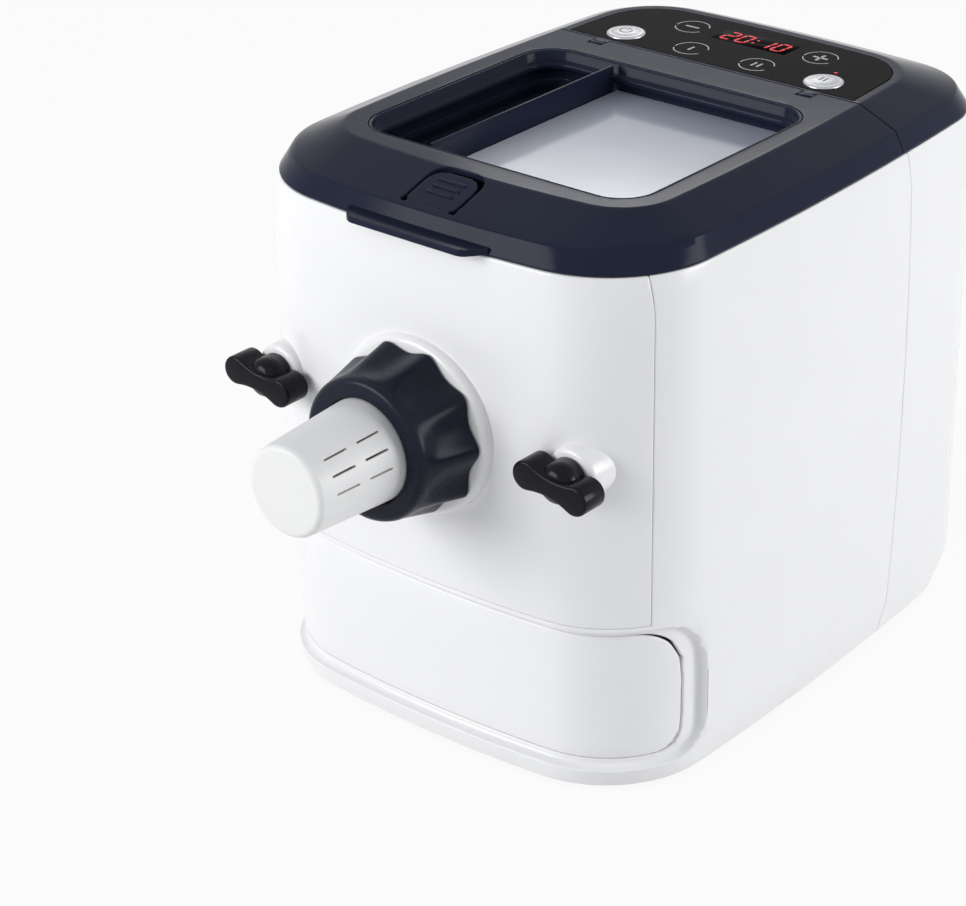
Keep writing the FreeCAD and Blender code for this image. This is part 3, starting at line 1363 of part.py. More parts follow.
hex_end = stirrer_rear
hex_socket = hex_prism("hex_socket", S.hex_radius + 0.3, hex_end - hex_reach, as_size(hex_reach + 1))
node(cut("stirrer_cut", fuse("stirrer_solid", stirrer_tube, auger_core, auger_blade(), *paddles), hex_socket),
     "stirring_auger")
shaft_end = S.gear_cover_rear + 2
shaft_start = hex_end
shaft_bar = rod("shaft_bar", "y", S.shaft_radius, (0.0, shaft_start, S.shaft_level), shaft_end - shaft_start)
node(fuse("shaft_solid", shaft_bar,
          hex_prism("shaft_hex", S.hex_radius, hex_end - hex_reach + 1, as_size(hex_reach + 1))), "output_shaft")


# Gears
def gear_wire(teeth, turn=0.0):
    """A toothed outline: straight-flanked teeth on the module's circles."""
    module = V["gear_module"]
    pitch = module * teeth / 2
    tip = pitch + 0.85 * module
    root = pitch - 1.15 * module
    step = 2 * math.pi / teeth
    points = []
    for i in range(teeth):
        middle = i * step + turn
        half_tip = 0.36 * module / tip
        half_root = 1.02 * module / root
        for angle, radius in ((-half_root, root), (-half_tip, tip), (half_tip, tip), (half_root, root)):
            points.append(Vector(radius * math.cos(middle + angle), 0, radius * math.sin(middle + angle)))
    return Part.makePolygon(points + points[:1])


def gear(name, teeth, turn, front, width, bore, level):
    """A spur gear on an axis along Y."""
    face = Part.Face(gear_wire(teeth, turn))
    solid = face.extrude(Vector(0, width, 0))
    if bore:
        solid = solid.cut(Part.makeCylinder(bore, width + 2, Vector(0, -1, 0), Vector(0, 1, 0)))
    thing = doc.addObject("Part::Feature", name)
    thing.Shape = solid
    return place(thing, 0.0, front, level)


wheel_teeth = int(V["wheel_teeth"])
pinion_teeth = int(V["pinion_teeth"])
gear_centres = S.gear_module * (wheel_teeth + pinion_teeth) / 2
motor_level = S.shaft_level - gear_centres
wheel_turn = -math.pi / 2 + math.pi / wheel_teeth
wheel_blank = gear("wheel_blank", wheel_teeth, wheel_turn, S.gear_front, V["gear_width"], V["shaft_radius"],
                   S.shaft_level)
web_recess = turned("web_recess", [
    (S.gear_front - 1, S.shaft_radius + 6), (S.gear_front - 1, S.gear_module * wheel_teeth / 2 - 8),
    (S.gear_front + 3, S.gear_module * wheel_teeth / 2 - 8), (S.gear_front + 3, S.shaft_radius + 6),
], S.shaft_level)
node(cut("wheel_fitted", wheel_blank, web_recess), "drive_gear")
pinion = gear("pinion_blank", pinion_teeth, math.pi / 2, S.gear_front, V["gear_width"], 0.0, motor_level)

# Gear cover: a cup over the gears that the motor bolts to
cover_back = S.gear_cover_rear
cover_front = chassis_rear
wheel_room = S.gear_module * (wheel_teeth + 2) / 2 + 3
pinion_room = S.gear_module * (pinion_teeth + 2) / 2 + 4


def gear_housing(name, extra, front, rear):
    """Two round chambers joined, for the wheel and the pinion."""
    upper = rod(name + "_wheel", "y", wheel_room + extra, (0.0, front, S.shaft_level), rear - front)
    lower = rod(name + "_pinion", "y", pinion_room + extra, (0.0, front, motor_level), rear - front)
    return fuse(name, upper, lower)


cover_depth = cover_back - S.chassis_front + 5
node(cut("gear_cover_cut", gear_housing("gear_cover_outside", S.gear_cover_wall, cover_front, cover_back),
         gear_housing("gear_cover_inside", 0.0, cover_front - 1, cover_back - S.gear_cover_wall),
         rod("cover_shaft_hole", "y", S.shaft_radius + S.running_gap, (0.0, S.chassis_front, S.shaft_level),
             cover_depth),
         rod("cover_motor_hole", "y", S.motor_shaft_radius + 3, (0.0, S.chassis_front, motor_level),
             cover_depth)),
     "gear_cover")

# Motor: case, shaft with its pinion, and fan
motor_rear = cover_back + S.motor_length
shaft_gap_radius = S.motor_shaft_radius + S.running_gap
node(turned("motor_case", [
    (cover_back, shaft_gap_radius), (cover_back, S.motor_radius - 3), (cover_back + 3, S.motor_radius),
    (motor_rear - 8, S.motor_radius), (motor_rear - 8, S.motor_radius - 10), (motor_rear, S.motor_radius - 14),
    (motor_rear, shaft_gap_radius),
], motor_level), "motor_case")
motor_bar = rod("motor_bar", "y", S.motor_shaft_radius, (0.0, S.gear_front - 1, motor_level),
                motor_rear - S.gear_front + 14)
node(fuse("motor_shaft_solid", motor_bar, pinion), "motor_shaft")
fan_front = motor_rear + 3
fan_hub = turned("fan_hub", [
    (fan_front, S.motor_shaft_radius), (fan_front, S.motor_shaft_radius + 5),
    (fan_front + 8, S.motor_shaft_radius + 5), (fan_front + 8, S.motor_shaft_radius),
], motor_level)


def fan_blades():
    """Eight flat blades, each pitched about its own arm."""
    blades = []
    for i in range(8):
        blade = Part.makeBox(12.0, 1.4, V["fan_radius"] - 7.0, Vector(-6.0, -0.7, 7.0))
        blade.rotate(Vector(), Vector(0, 0, 1), 28.0)
        thing = doc.addObject("Part::Feature", f"fan_blade_{i}")
        thing.Shape = blade
        spot = Vector(0, (fan_front + 4).value, motor_level.value)
        thing.Placement = Placement(spot, Rotation(Vector(0, 1, 0), 45.0 * i))
        blades.append(thing)
    return blades


node(fuse("fan_solid", fan_hub, *fan_blades()), "cooling_fan")

# Mains inlet and power board
inlet_x = (S.inlet_across - S.inlet_half_width, S.inlet_across + S.inlet_half_width)
inlet_z = (S.inlet_level - S.inlet_half_height, S.inlet_level + S.inlet_half_height)
inlet_face = S.body_rear - S.inlet_recess
inlet_block = box("inlet_block", inlet_x, (inlet_face - S.inlet_depth, inlet_face), inlet_z)
inlet_mouth = round_block("inlet_mouth", (inlet_x[0] + 2.0, inlet_x[1] - 2.0),
                          (inlet_face - S.inlet_depth + 3, FAR),
                          (inlet_z[0] + 2.5, inlet_z[1] - 2.5), 3.0)
inlet_flange = box("inlet_flange", (inlet_x[0] - 3, inlet_x[1] + 3), (inlet_face - 9.5, inlet_face - 7.5),
                   (inlet_z[0] - 3, inlet_z[1] + 3))
inlet_pins = [
    box(f"inlet_pin_{i}", (S.inlet_across + x - 0.8, S.inlet_across + x + 0.8),
        (inlet_face - S.inlet_depth + 2, inlet_face - 7), (S.inlet_level + z - 2, S.inlet_level + z + 2))
    for i, (x, z) in enumerate([(-7.0, -2.0), (0.0, 2.5), (7.0, -2.0)])
]
inlet_shell = cut("inlet_shell", fuse("inlet_outside", inlet_block, inlet_flange), inlet_mouth)
node(fuse("inlet_joined", inlet_shell, *inlet_pins), "mains_inlet")

power_x = (S.power_left, S.power_left + S.power_width)
power_y = (S.power_front, S.power_front + S.power_length)
power_level = base_top + S.power_rise
power_posts = [
    rod(f"power_post_{i}_{j}", "z", 3.0, (x, y, base_top), S.power_rise + 0.1)
    for i, x in enumerate((power_x[0] + 4, power_x[1] - 4))
    for j, y in enumerate((power_y[0] + 5, power_y[1] - 5))
]
power_sheet = box("power_sheet", power_x, power_y, (power_level, power_level + S.board_thickness))


def on_board(across, along):
    """A place on the power board, from its left front corner."""
    return power_x[0] + across, power_y[0] + along, power_level + 1


def board_block(name, across, along, height):
    """A block on the power board."""
    low = on_board(across[0], along[0])
    high = on_board(across[1], along[1])
    return box(name, (low[0], high[0]), (low[1], high[1]), (low[2], low[2] + height))


power_blocks = [
    board_block("choke", (6.0, 28.0), (10.0, 30.0), 19.0),
    rod("capacitor", "z", 8.0, on_board(38.0, 45.0), 24.0),
    board_block("relay", (6.0, 24.0), (40.0, 60.0), 15.0),
]
node(fuse("power_joined", power_sheet, *power_posts, *power_blocks), "power_board")

# Lid switch under the deck, and screws
lid_switch_front = S.body_front + 9
node(box("lid_switch_block", (26.0, 46.0), (lid_switch_front, lid_switch_front + 6),
         (S.deck_level - 10, S.deck_level)), "lid_switch")


def screws(name, places):
    """A group of like screws: each a head and a shank."""
    group = []
    for i, (x, y, z) in enumerate(places):
        head_rod = rod(f"{name}_head_{i}", "z", S.screw_head_radius, (x, y, z), S.screw_head)
        shank_rod = rod(f"{name}_shank_{i}", "z", S.screw_radius, (x, y, z + S.screw_head), S.screw_length)
        group.append(fuse(f"{name}_{i}", head_rod, shank_rod))
    compound = doc.addObject("Part::Compound", name)
    compound.Links = group
    return compound


screw_low = S.body_bottom - S.screw_head
node(screws("base_screws", [(x, y, screw_low) for x, y in SCREWS.values()]), "base_screws")


def finish():
    """Recompute, test every object and write each sub-part."""
    doc.recompute()
    faults = [thing.Name for thing in doc.Objects if {"Invalid", "Error"} & set(thing.State)]
    for thing in PARTS:
        if thing.Shape.isNull() or not thing.Shape.isValid():
            faults.append(thing.Label)
    if faults:
        raise RuntimeError("these objects failed: " + ", ".join(faults))
    os.makedirs("parts", exist_ok=True)
    for thing in PARTS:
        thing.Shape.exportStep(f"parts/{thing.Label}.step")
        solids = len(thing.Shape.Solids)
        print(f"{thing.Label}: {solids} solid(s), {thing.Shape.Volume / 1000:.1f} cm3")


finish()
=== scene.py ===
# %% [markdown]
# # An electric pasta maker, dressed in Blender
# The frame holds the machine's real pieces at their real size. This lesson puts a finished
# surface on each of them. The casings are remade as smooth skins with soft edges, because a
# glossy white housing shows every facet, and the inner pieces keep their frame shapes.

# %% load the frame
import bpy
import bmesh
import math
from mathutils import Matrix, Vector
from operator import attrgetter


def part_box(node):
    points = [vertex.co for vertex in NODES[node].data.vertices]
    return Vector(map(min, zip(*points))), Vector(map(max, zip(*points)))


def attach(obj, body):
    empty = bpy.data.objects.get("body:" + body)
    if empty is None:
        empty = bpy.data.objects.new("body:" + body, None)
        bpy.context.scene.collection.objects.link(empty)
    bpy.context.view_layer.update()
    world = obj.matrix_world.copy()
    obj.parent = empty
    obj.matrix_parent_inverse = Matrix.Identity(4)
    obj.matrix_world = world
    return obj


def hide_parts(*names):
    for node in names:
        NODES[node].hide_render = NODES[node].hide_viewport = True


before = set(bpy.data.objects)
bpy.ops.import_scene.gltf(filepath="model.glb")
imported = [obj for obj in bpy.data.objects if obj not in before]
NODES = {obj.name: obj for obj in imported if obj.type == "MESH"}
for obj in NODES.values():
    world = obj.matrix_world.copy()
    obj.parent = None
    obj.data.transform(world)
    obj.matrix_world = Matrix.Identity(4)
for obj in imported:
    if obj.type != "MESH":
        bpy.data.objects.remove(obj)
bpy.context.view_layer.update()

# %% [markdown]
# ## Measures
# Lengths are millimetres, as on the maker's drawing. `span` reads a node's box from the frame,
# so that new pieces take their places from the pieces that they stand for.

# %% measures
MM = 0.001


def span(node):
    """A frame node's lowest and highest corners, in millimetres."""
    low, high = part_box(node)
    return low / MM, high / MM


BODY_LOW, BODY_HIGH = span("main_housing")
REAR_HIGH = span("rear_housing")[1]
LID_LOW, LID_HIGH = span("lid_frame")
HALF_WIDTH = BODY_HIGH.x
FRONT = BODY_LOW.y
REAR = REAR_HIGH.y
NOZZLE = (span("front_collar")[0].z + span("front_collar")[1].z) / 2
print("body", HALF_WIDTH, FRONT, REAR, "nozzle level", NOZZLE)

# %% [markdown]
# ## The plan outline
# Seen from above, the body, the lid and the glass panel share one outline: four shallow bows
# joined by four round corners. A circle from the ring operator is bent onto that outline point
# by point, which keeps the corners even, and rings at several heights are bridged into a skin.

# %% plan outline
FRONT_BOW = 650.0
SIDE_BOW = 1800.0
REAR_BOW = 900.0
CORNERS = (56.0, 42.0)
ARC_STEPS = (20, 22, 44, 14, 8)


def corner_spot(bow_centre, bow, side_centre, side, corner):
    """Centre of a corner arc that touches two bowed sides from inside."""
    a = bow - corner
    b = side - corner
    gap = side_centre - bow_centre
    along = (a * a - b * b + gap.length_squared) / (2 * gap.length)
    aside = math.sqrt(a * a - along * along)
    unit = gap.normalized()
    across = Vector((-unit.y, unit.x))
    spots = [bow_centre + unit * along + across * aside, bow_centre + unit * along - across * aside]
    return max(spots, key=lambda spot: spot.x)


def unit_at(angle):
    """The flat unit vector at an angle."""
    return Vector((math.cos(angle), math.sin(angle)))


def arc_points(centre, radius, start, end, steps):
    """Points along an arc, without its last point."""
    turn = math.remainder(end - start, 2 * math.pi)
    return [centre + radius * unit_at(start + turn * i / steps) for i in range(steps)]


def plan(half_width, front, rear, corners=CORNERS, inset=0.0):
    """The outline's points, anticlockwise from the middle of the front."""
    bow, side, back = FRONT_BOW - inset, SIDE_BOW - inset, REAR_BOW - inset
    near_radius, far_radius = (max(corner - inset, 2.0) for corner in corners)
    bow_centre = Vector((0, front + inset + bow))
    back_centre = Vector((0, rear - inset - back))
    side_centre = Vector((half_width - inset - side, 0))
    near = corner_spot(bow_centre, bow, side_centre, side, near_radius)
    far = corner_spot(back_centre, back, side_centre, side, far_radius)

    def heading(centre, spot):
        toward = spot - centre
        return math.atan2(toward.y, toward.x)

    turns = (-math.pi / 2, heading(bow_centre, near), heading(side_centre, near),
             heading(side_centre, far), heading(back_centre, far), math.pi / 2)
    arcs = ((bow_centre, bow), (near, near_radius), (side_centre, side), (far, far_radius),
            (back_centre, back))
    half = []
    for (centre, radius), start, end, steps in zip(arcs, turns, turns[1:], ARC_STEPS):
        half += arc_points(centre, radius, start, end, steps)
    half.append(Vector((0, rear - inset)))
    other = [Vector((-spot.x, spot.y)) for spot in reversed(half[1:-1])]
    return half + other


print("points round the plan:", len(plan(HALF_WIDTH, FRONT, REAR)))

# %% [markdown]
# `ring` takes the circle operator's points in their own order and lays them on an outline, and
# `skin` bridges rings from the foot up. Every ring has as many points as the others, so the
# bridges are plain rows of four-sided faces.

# %% skins
def ring(bm, outline, z):
    """A closed ring of edges on an outline of (x, y) points, at a height."""
    made = bmesh.ops.create_circle(bm, segments=len(outline), radius=1.0)["verts"]
    made.sort(key=lambda v: v.index)
    for v, spot in zip(made, outline):
        v.co = (spot[0], spot[1], z)
    return made


def ring_edges(verts):
    """The edges that join a ring's points."""
    inside = set(verts)
    return [e for v in verts for e in v.link_edges if e.other_vert(v) in inside and e.verts[0] is v]


def skin(levels):
    """An open skin through (outline, height) levels."""
    bm = bmesh.new()
    before = None
    for outline, z in levels:
        now = ring(bm, outline, z)
        if before:
            bmesh.ops.bridge_loops(bm, edges=ring_edges(before) + ring_edges(now))
        before = now
    bmesh.ops.recalc_face_normals(bm, faces=bm.faces)
    return bm


# %% [markdown]
# ## Cutting a skin along a contour
# Holes, seams and recesses have to run cleanly across a mesh. `slit` gives each point a value,
# stands the mesh up on those values, cuts it with one flat plane where the value is zero, and
# lays it back. The points' homes travel in a vertex layer, which the cut interpolates, so the
# new edge follows the contour exactly. Points that already lie near it slide onto it first. A
# small shear keeps faces that share a value from lying on each other while they stand up.

# %% contour cuts
SHEAR = 0.37
CUT_TOLERANCE = 0.02
CUT_REACH = 9.0


def slope_of(field, spot):
    """How a field changes about a point."""
    small = 0.05
    steps = [Vector((small, 0, 0)), Vector((0, small, 0)), Vector((0, 0, small))]
    return Vector([(field(spot + step) - field(spot - step)) / (2 * small) for step in steps])


def slit(bm, field, snap=0.5, near=None):
    """Add edges where the field is zero. near(point) limits the cut to a part of the mesh."""
    bm.normal_update()
    faces = [f for f in bm.faces if near is None or near(f.calc_center_median())]
    points = list({v for f in faces for v in f.verts})
    for v in points:
        value = field(v.co)
        if abs(value) < snap:
            slope = slope_of(field, v.co)
            slope -= v.normal * slope.dot(v.normal)
            if slope.length_squared > 0.01:
                v.co -= slope * (value / slope.length_squared)
    home = bm.verts.layers.float_vector.get("home") or bm.verts.layers.float_vector.new("home")
    points = list({v for f in faces for v in f.verts})
    edges = list({e for f in faces for e in f.edges})
    for v in points:
        v[home] = v.co.copy()
    for v in points:
        v.co = (field(v[home]), v[home].y + v[home].x * SHEAR, v[home].z)
    cut = bmesh.ops.bisect_plane(bm, geom=points + edges + faces, dist=CUT_TOLERANCE,
                                 plane_co=(0, 0, 0), plane_no=(1, 0, 0))
    fresh = {item for item in cut["geom"] + cut["geom_cut"] if isinstance(item, bmesh.types.BMVert)}
    for v in fresh | set(points):
        v.co = v[home]


def drop(bm, inside):
    """Delete the faces whose middle passes a test."""
    gone = [f for f in bm.faces if inside(f.calc_center_median())]
    bmesh.ops.delete(bm, geom=gone, context="FACES")


X_OF, Y_OF, Z_OF = (attrgetter(axis) for axis in "xyz")


def window(bm, u, v, u_span, v_span, where):
    """Cut one four-sided hole: u and v give two coordinates of a point."""
    def near(p):
        return (where(p) and u_span[0] - CUT_REACH < u(p) < u_span[1] + CUT_REACH
                and v_span[0] - CUT_REACH < v(p) < v_span[1] + CUT_REACH)

    for value, ends in ((u, u_span), (v, v_span)):
        for end in ends:
            slit(bm, lambda p, value=value, end=end: value(p) - end, snap=0.25, near=near)
    drop(bm, lambda p: near(p) and u_span[0] < u(p) < u_span[1] and v_span[0] < v(p) < v_span[1])


def box_distance(a, b, a_span, b_span, corner):
    """How far a flat point lies inside a rounded rectangle."""
    half_a = (a_span[1] - a_span[0]) / 2 - corner
    half_b = (b_span[1] - b_span[0]) / 2 - corner
    da = abs(a - (a_span[0] + a_span[1]) / 2) - half_a
    db = abs(b - (b_span[0] + b_span[1]) / 2) - half_b
    outside = math.hypot(max(da, 0.0), max(db, 0.0))
    return corner - outside - min(max(da, db), 0.0)


# %% [markdown]
# ## From a bmesh to a piece
# `piece` turns millimetres into metres, names the object, gives it a finish and a body to ride
# on, and adds the three modifiers that a moulded shell needs: a wall, soft edges, and shading
# that stays calm on the large faces.

# %% pieces
def piece(bm, name, body, finish, replaces=(), wall=0.0, soft=0.0, rows=2):
    """A finished object from a bmesh in millimetres."""
    bmesh.ops.scale(bm, vec=(MM, MM, MM), verts=bm.verts)
    mesh = bpy.data.meshes.new(name)
    for face in bm.faces:
        face.smooth = True
    bm.to_mesh(mesh)
    bm.free()
    obj = bpy.data.objects.new(name, mesh)
    bpy.context.scene.collection.objects.link(obj)
    mesh.materials.append(finish)
    if wall:
        shell = obj.modifiers.new("wall", "SOLIDIFY")
        shell.thickness = wall * MM
        shell.offset = -1.0
        shell.use_even_offset = True
    if soft:
        edge = obj.modifiers.new("soft_edges", "BEVEL")
        edge.width = soft * MM
        edge.segments = rows
        edge.limit_method = "ANGLE"
        edge.angle_limit = math.radians(38)
        edge.use_clamp_overlap = False
        calm = obj.modifiers.new("calm_shading", "WEIGHTED_NORMAL")
        calm.keep_sharp = True
    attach(obj, body)
    if replaces:
        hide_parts(*replaces)
    return obj


def faces_of(*objects):
    """How many faces some objects have together, before their modifiers."""
    return sum(len(obj.data.polygons) for obj in objects)


def turned(profile, steps=72):
    """A turned shape about Z from (radius, height) corners."""
    bm = bmesh.new()
    points = [bm.verts.new((radius, 0, height)) for radius, height in profile]
    edges = [bm.edges.new(pair) for pair in zip(points, points[1:])]
    bmesh.ops.spin(bm, geom=points + edges, cent=(0, 0, 0), axis=(0, 0, 1), angle=2 * math.pi, steps=steps,
                   use_merge=True)
    bmesh.ops.remove_doubles(bm, verts=bm.verts, dist=0.001)
    bmesh.ops.recalc_face_normals(bm, faces=bm.faces)
    return bm


TO_FRONT = Matrix.Rotation(math.radians(90), 4, "X")


def move(bm, x=0.0, y=0.0, z=0.0, turn=None):
    """Turn a bmesh about the origin and then shift it."""
    bmesh.ops.transform(bm, matrix=Matrix.Translation((x, y, z)) @ (turn or Matrix()), verts=bm.verts)
    return bm


def block(x, y, z, edge=0.0, rows=2):
    """A block between two values on each axis, with bevelled edges."""
    bm = bmesh.new()
    bmesh.ops.create_cube(bm, size=1.0)
    bmesh.ops.scale(bm, vec=(x[1] - x[0], y[1] - y[0], z[1] - z[0]), verts=bm.verts)
    bmesh.ops.translate(bm, vec=((x[0] + x[1]) / 2, (y[0] + y[1]) / 2, (z[0] + z[1]) / 2), verts=bm.verts)
    if edge:
        bmesh.ops.bevel(bm, geom=bm.edges[:], affect="EDGES", offset=edge, segments=rows, profile=0.5,
                        material=-1)
    return bm


def join(first, *others):
    """Several bmeshes as one."""
    for other in others:
        spare = bpy.data.meshes.new("spare")
        other.to_mesh(spare)
        first.from_mesh(spare)
        bpy.data.meshes.remove(spare)
        other.free()
    return first


def bridge_round(bm, rings):
    """Bridge rings one after another, and the last to the first."""
    for first, second in zip(rings, rings[1:] + rings[:1]):
        bmesh.ops.bridge_loops(bm, edges=ring_edges(first) + ring_edges(second))
    bmesh.ops.recalc_face_normals(bm, faces=bm.faces)


def raise_faces(bm, faces, shift):
    """Extrude faces by a shift, and return what grew."""
    grown = bmesh.ops.extrude_face_region(bm, geom=faces)["geom"]
    verts = [item for item in grown if isinstance(item, bmesh.types.BMVert)]
    bmesh.ops.translate(bm, vec=shift, verts=verts)
    return grown


def trim(bm, point, normal):
    """Cut off all that lies beyond a plane."""
    bmesh.ops.bisect_plane(bm, geom=bm.verts[:] + bm.edges[:] + bm.faces[:], plane_co=point,
                           plane_no=normal, clear_outer=True)


def face_up(bm):
    """Turn every face's front upwards."""
    for face in bm.faces:
        face.normal_update()
        if face.normal.z < 0:
            face.normal_flip()


# %% [markdown]
# ## Finishes
# `Finish` wraps one material. Its `make` method adds any node, and `Field` lets a socket take
# part in ordinary sums, so a mask reads as the sum that it is. Each finish varies a little over
# the surface in colour, roughness and relief, as moulded and spun parts do.

# %% shader helpers
class Field:
    """A shader socket that takes part in sums."""

    def __init__(self, finish, socket):
        self.finish = finish
        self.socket = socket

    def _sum(self, operation, *values):
        return self.finish.make("ShaderNodeMath", {"operation": operation}, dict(enumerate(values)))

    def __add__(self, other):
        return self._sum("ADD", self, other)

    def __mul__(self, other):
        return self._sum("MULTIPLY", self, other)

    __radd__ = __add__
    __rmul__ = __mul__


# a Mix node has sockets for each kind of value, and these are the ones for colours
MIX_FACTOR, MIX_FIRST, MIX_SECOND, MIX_RESULT = 0, 6, 7, 2


class Finish:
    """One material, its principled shader and the nodes that feed it."""

    def __init__(self, name, **constants):
        self.material = bpy.data.materials.new(name)
        self.material.use_nodes = True
        self.tree = self.material.node_tree
        self.shader = self.tree.nodes["Principled BSDF"]
        self.set(**constants)

    def make(self, kind, settings=None, values=None, out=0):
        """Add a node: its settings first, then its sockets' values or links."""
        node = self.tree.nodes.new(kind)
        for key, value in (settings or {}).items():
            setattr(node, key, value)
        for key, value in (values or {}).items():
            self.feed(node.inputs[key], value)
        return Field(self, node.outputs[out])

    def feed(self, socket, value):
        """Link a field to a socket, or set its number."""
        if isinstance(value, Field):
            self.tree.links.new(value.socket, socket)
        else:
            socket.default_value = value

    def set(self, **values):
        """Feed the principled shader's sockets, named with underscores."""
        for key, value in values.items():
            self.feed(self.shader.inputs[key.replace("_", " ")], value)

    def place(self):
        """Where a point is on the object, in metres."""
        return self.make("ShaderNodeTexCoord", out="Object")

    def noise(self, scale, detail=3.0, vector=None):
        """A soft noise between 0 and 1."""
        return self.make("ShaderNodeTexNoise", {"noise_dimensions": "3D"},
                         {"Vector": vector or self.place(), "Scale": scale, "Detail": detail})

    def tint(self, factor, first, second):
        """A colour between two, by a factor."""
        colours = {MIX_FACTOR: factor, MIX_FIRST: (*first, 1.0), MIX_SECOND: (*second, 1.0)}
        return self.make("ShaderNodeMix", {"data_type": "RGBA"}, colours, MIX_RESULT)

    def relief(self, height, strength, distance=0.0002):
        """A bump that feeds the shader's normal."""
        values = {"Height": height, "Strength": strength, "Distance": distance}
        self.set(Normal=self.make("ShaderNodeBump", None, values))


COLOUR_CLOUDS = 18.0
GLOSS_CLOUDS = 60.0


def plastic(name, first, second, low, high, grain, relief, ior=1.5):
    """Moulded plastic: two near colours, roughness from low to high, and a relief of a grain."""
    finish = Finish(name, IOR=ior)
    finish.set(Base_Color=finish.tint(finish.noise(COLOUR_CLOUDS), first, second),
               Roughness=finish.noise(GLOSS_CLOUDS) * (high - low) + low)
    finish.relief(finish.noise(grain, 2.0), relief)
    return finish.material


def metal(name, first, second, low, high, stretch, relief=0.1):
    """Bare metal with a drawn grain: the noise is stretched along one axis."""
    finish = Finish(name, Metallic=1.0)
    drawn = finish.make("ShaderNodeMapping", None, {"Vector": finish.place(), "Scale": stretch})
    grain = finish.noise(1.0, 4.0, drawn)
    finish.set(Base_Color=finish.tint(grain, first, second), Roughness=grain * (high - low) + low)
    finish.relief(grain, relief, 0.00005)
    return finish.material


# %% [markdown]
# The dark gloss is a mould polished like a mirror. Seen at a slant, such a surface would show
# the pale room and turn grey, but the real lid stays deep blue and the panel stays black, so
# their index of refraction is set low, which thins the reflection and leaves the highlights.

# %% finishes
WHITE = plastic("white_shell", (0.85, 0.85, 0.852), (0.88, 0.88, 0.882), 0.20, 0.27, 900.0, 0.02)
NAVY = plastic("navy_gloss", (0.012, 0.015, 0.033), (0.016, 0.020, 0.042), 0.13, 0.19, 1100.0, 0.02, 1.15)
NAVY_DEEP = plastic("navy_satin", (0.008, 0.010, 0.020), (0.011, 0.014, 0.027), 0.22, 0.32, 1200.0, 0.03,
                    1.22)
BLACK = plastic("black_gloss", (0.004, 0.005, 0.008), (0.007, 0.007, 0.011), 0.14, 0.22, 1000.0, 0.03, 1.22)
PANEL = plastic("black_panel", (0.003, 0.003, 0.004), (0.005, 0.005, 0.006), 0.06, 0.10, 300.0, 0.01, 1.06)
SATIN = plastic("white_satin", (0.78, 0.78, 0.775), (0.82, 0.82, 0.81), 0.38, 0.50, 1500.0, 0.05)
PRINT = plastic("white_print", (0.50, 0.51, 0.53), (0.60, 0.61, 0.63), 0.35, 0.5, 2000.0, 0.05)
GREY = plastic("grey_moulding", (0.10, 0.105, 0.115), (0.15, 0.155, 0.165), 0.42, 0.6, 1400.0, 0.15)
RUBBER = plastic("soft_rubber", (0.022, 0.022, 0.024), (0.04, 0.04, 0.043), 0.62, 0.8, 1600.0, 0.25)
BOWL = plastic("clear_bowl", (0.55, 0.57, 0.58), (0.62, 0.64, 0.65), 0.16, 0.26, 500.0, 0.03)
ACETAL = plastic("gear_plastic", (0.62, 0.57, 0.46), (0.68, 0.63, 0.52), 0.35, 0.5, 1200.0, 0.06)
GREEN = plastic("board", (0.012, 0.075, 0.035), (0.03, 0.13, 0.06), 0.3, 0.5, 700.0, 0.1)
STEEL = metal("steel", (0.50, 0.50, 0.52), (0.66, 0.66, 0.68), 0.22, 0.4, (900, 60, 900))
BRONZE = metal("bearing", (0.50, 0.36, 0.20), (0.62, 0.46, 0.28), 0.3, 0.5, (700, 80, 700))
print("finishes made:", len(bpy.data.materials))

# %% [markdown]
# The two keys are spun metal caps. Turning leaves rings about the cap's middle, so the relief
# is a fine wave of the distance from that middle, which a Mapping node moves to the key.

# %% spun caps
TURNING_MARKS = 5200.0


def spun_cap(name, x, y):
    """Silver with fine turning rings about a centre."""
    finish = Finish(name, Metallic=1.0)
    centred = finish.make("ShaderNodeMapping", None,
                          {"Vector": finish.place(), "Location": (-x * MM, -y * MM, 0), "Scale": (1, 1, 0)})
    away = finish.make("ShaderNodeVectorMath", {"operation": "LENGTH"}, {0: centred}, out="Value")
    rings = finish.make("ShaderNodeTexNoise", {"noise_dimensions": "1D"},
                        {"W": away, "Scale": TURNING_MARKS, "Detail": 2.0})
    finish.set(Base_Color=finish.tint(rings, (0.36, 0.365, 0.38), (0.52, 0.525, 0.54)))
    finish.set(Roughness=rings * 0.16 + 0.26)
    finish.relief(rings, 0.12, 0.00004)
    return finish.material


# %% [markdown]
# The window is smoked acrylic that shows the studio more than the bowl, and that reflection is painted into
# its base colour: a painted gradient goes from a cool grey at the back to near white at the front.

# %% window and lit prints
# where the painted reflection runs from near white to cool grey, in metres along Y
REFLECTION_PALE_START = -0.05
REFLECTION_COOL_START = 0.08


def window_with_painted_reflection():
    """Acrylic with a painted reflection: near white at the front and a cool grey far side."""
    finish = Finish("clear_window", IOR=1.4)
    where = finish.make("ShaderNodeSeparateXYZ", None, {"Vector": finish.place()}, out="Y")
    shift = finish.make("ShaderNodeMapRange", None,
                        {"Value": where, "From Min": REFLECTION_PALE_START, "From Max": REFLECTION_COOL_START})
    cloud = finish.noise(9.0, 1.0) * 0.15
    # painted reflection in the base colour: near white at the front, cool grey towards the back, a little
    # uneven
    finish.set(Base_Color=finish.tint(shift + cloud, (0.84, 0.86, 0.92), (0.36, 0.39, 0.47)))
    finish.set(Roughness=finish.noise(40.0) * 0.06 + 0.08)
    return finish.material


def lamp(name, colour, strength):
    """A lit print: emission over a dark base, a little uneven."""
    finish = Finish(name, Roughness=0.3, Emission_Strength=strength)
    spread = finish.noise(800.0, 1.0)
    dim = tuple(part * 0.7 for part in colour)
    finish.set(Base_Color=finish.tint(spread, colour, dim), Emission_Color=finish.tint(spread, colour, dim))
    return finish.material


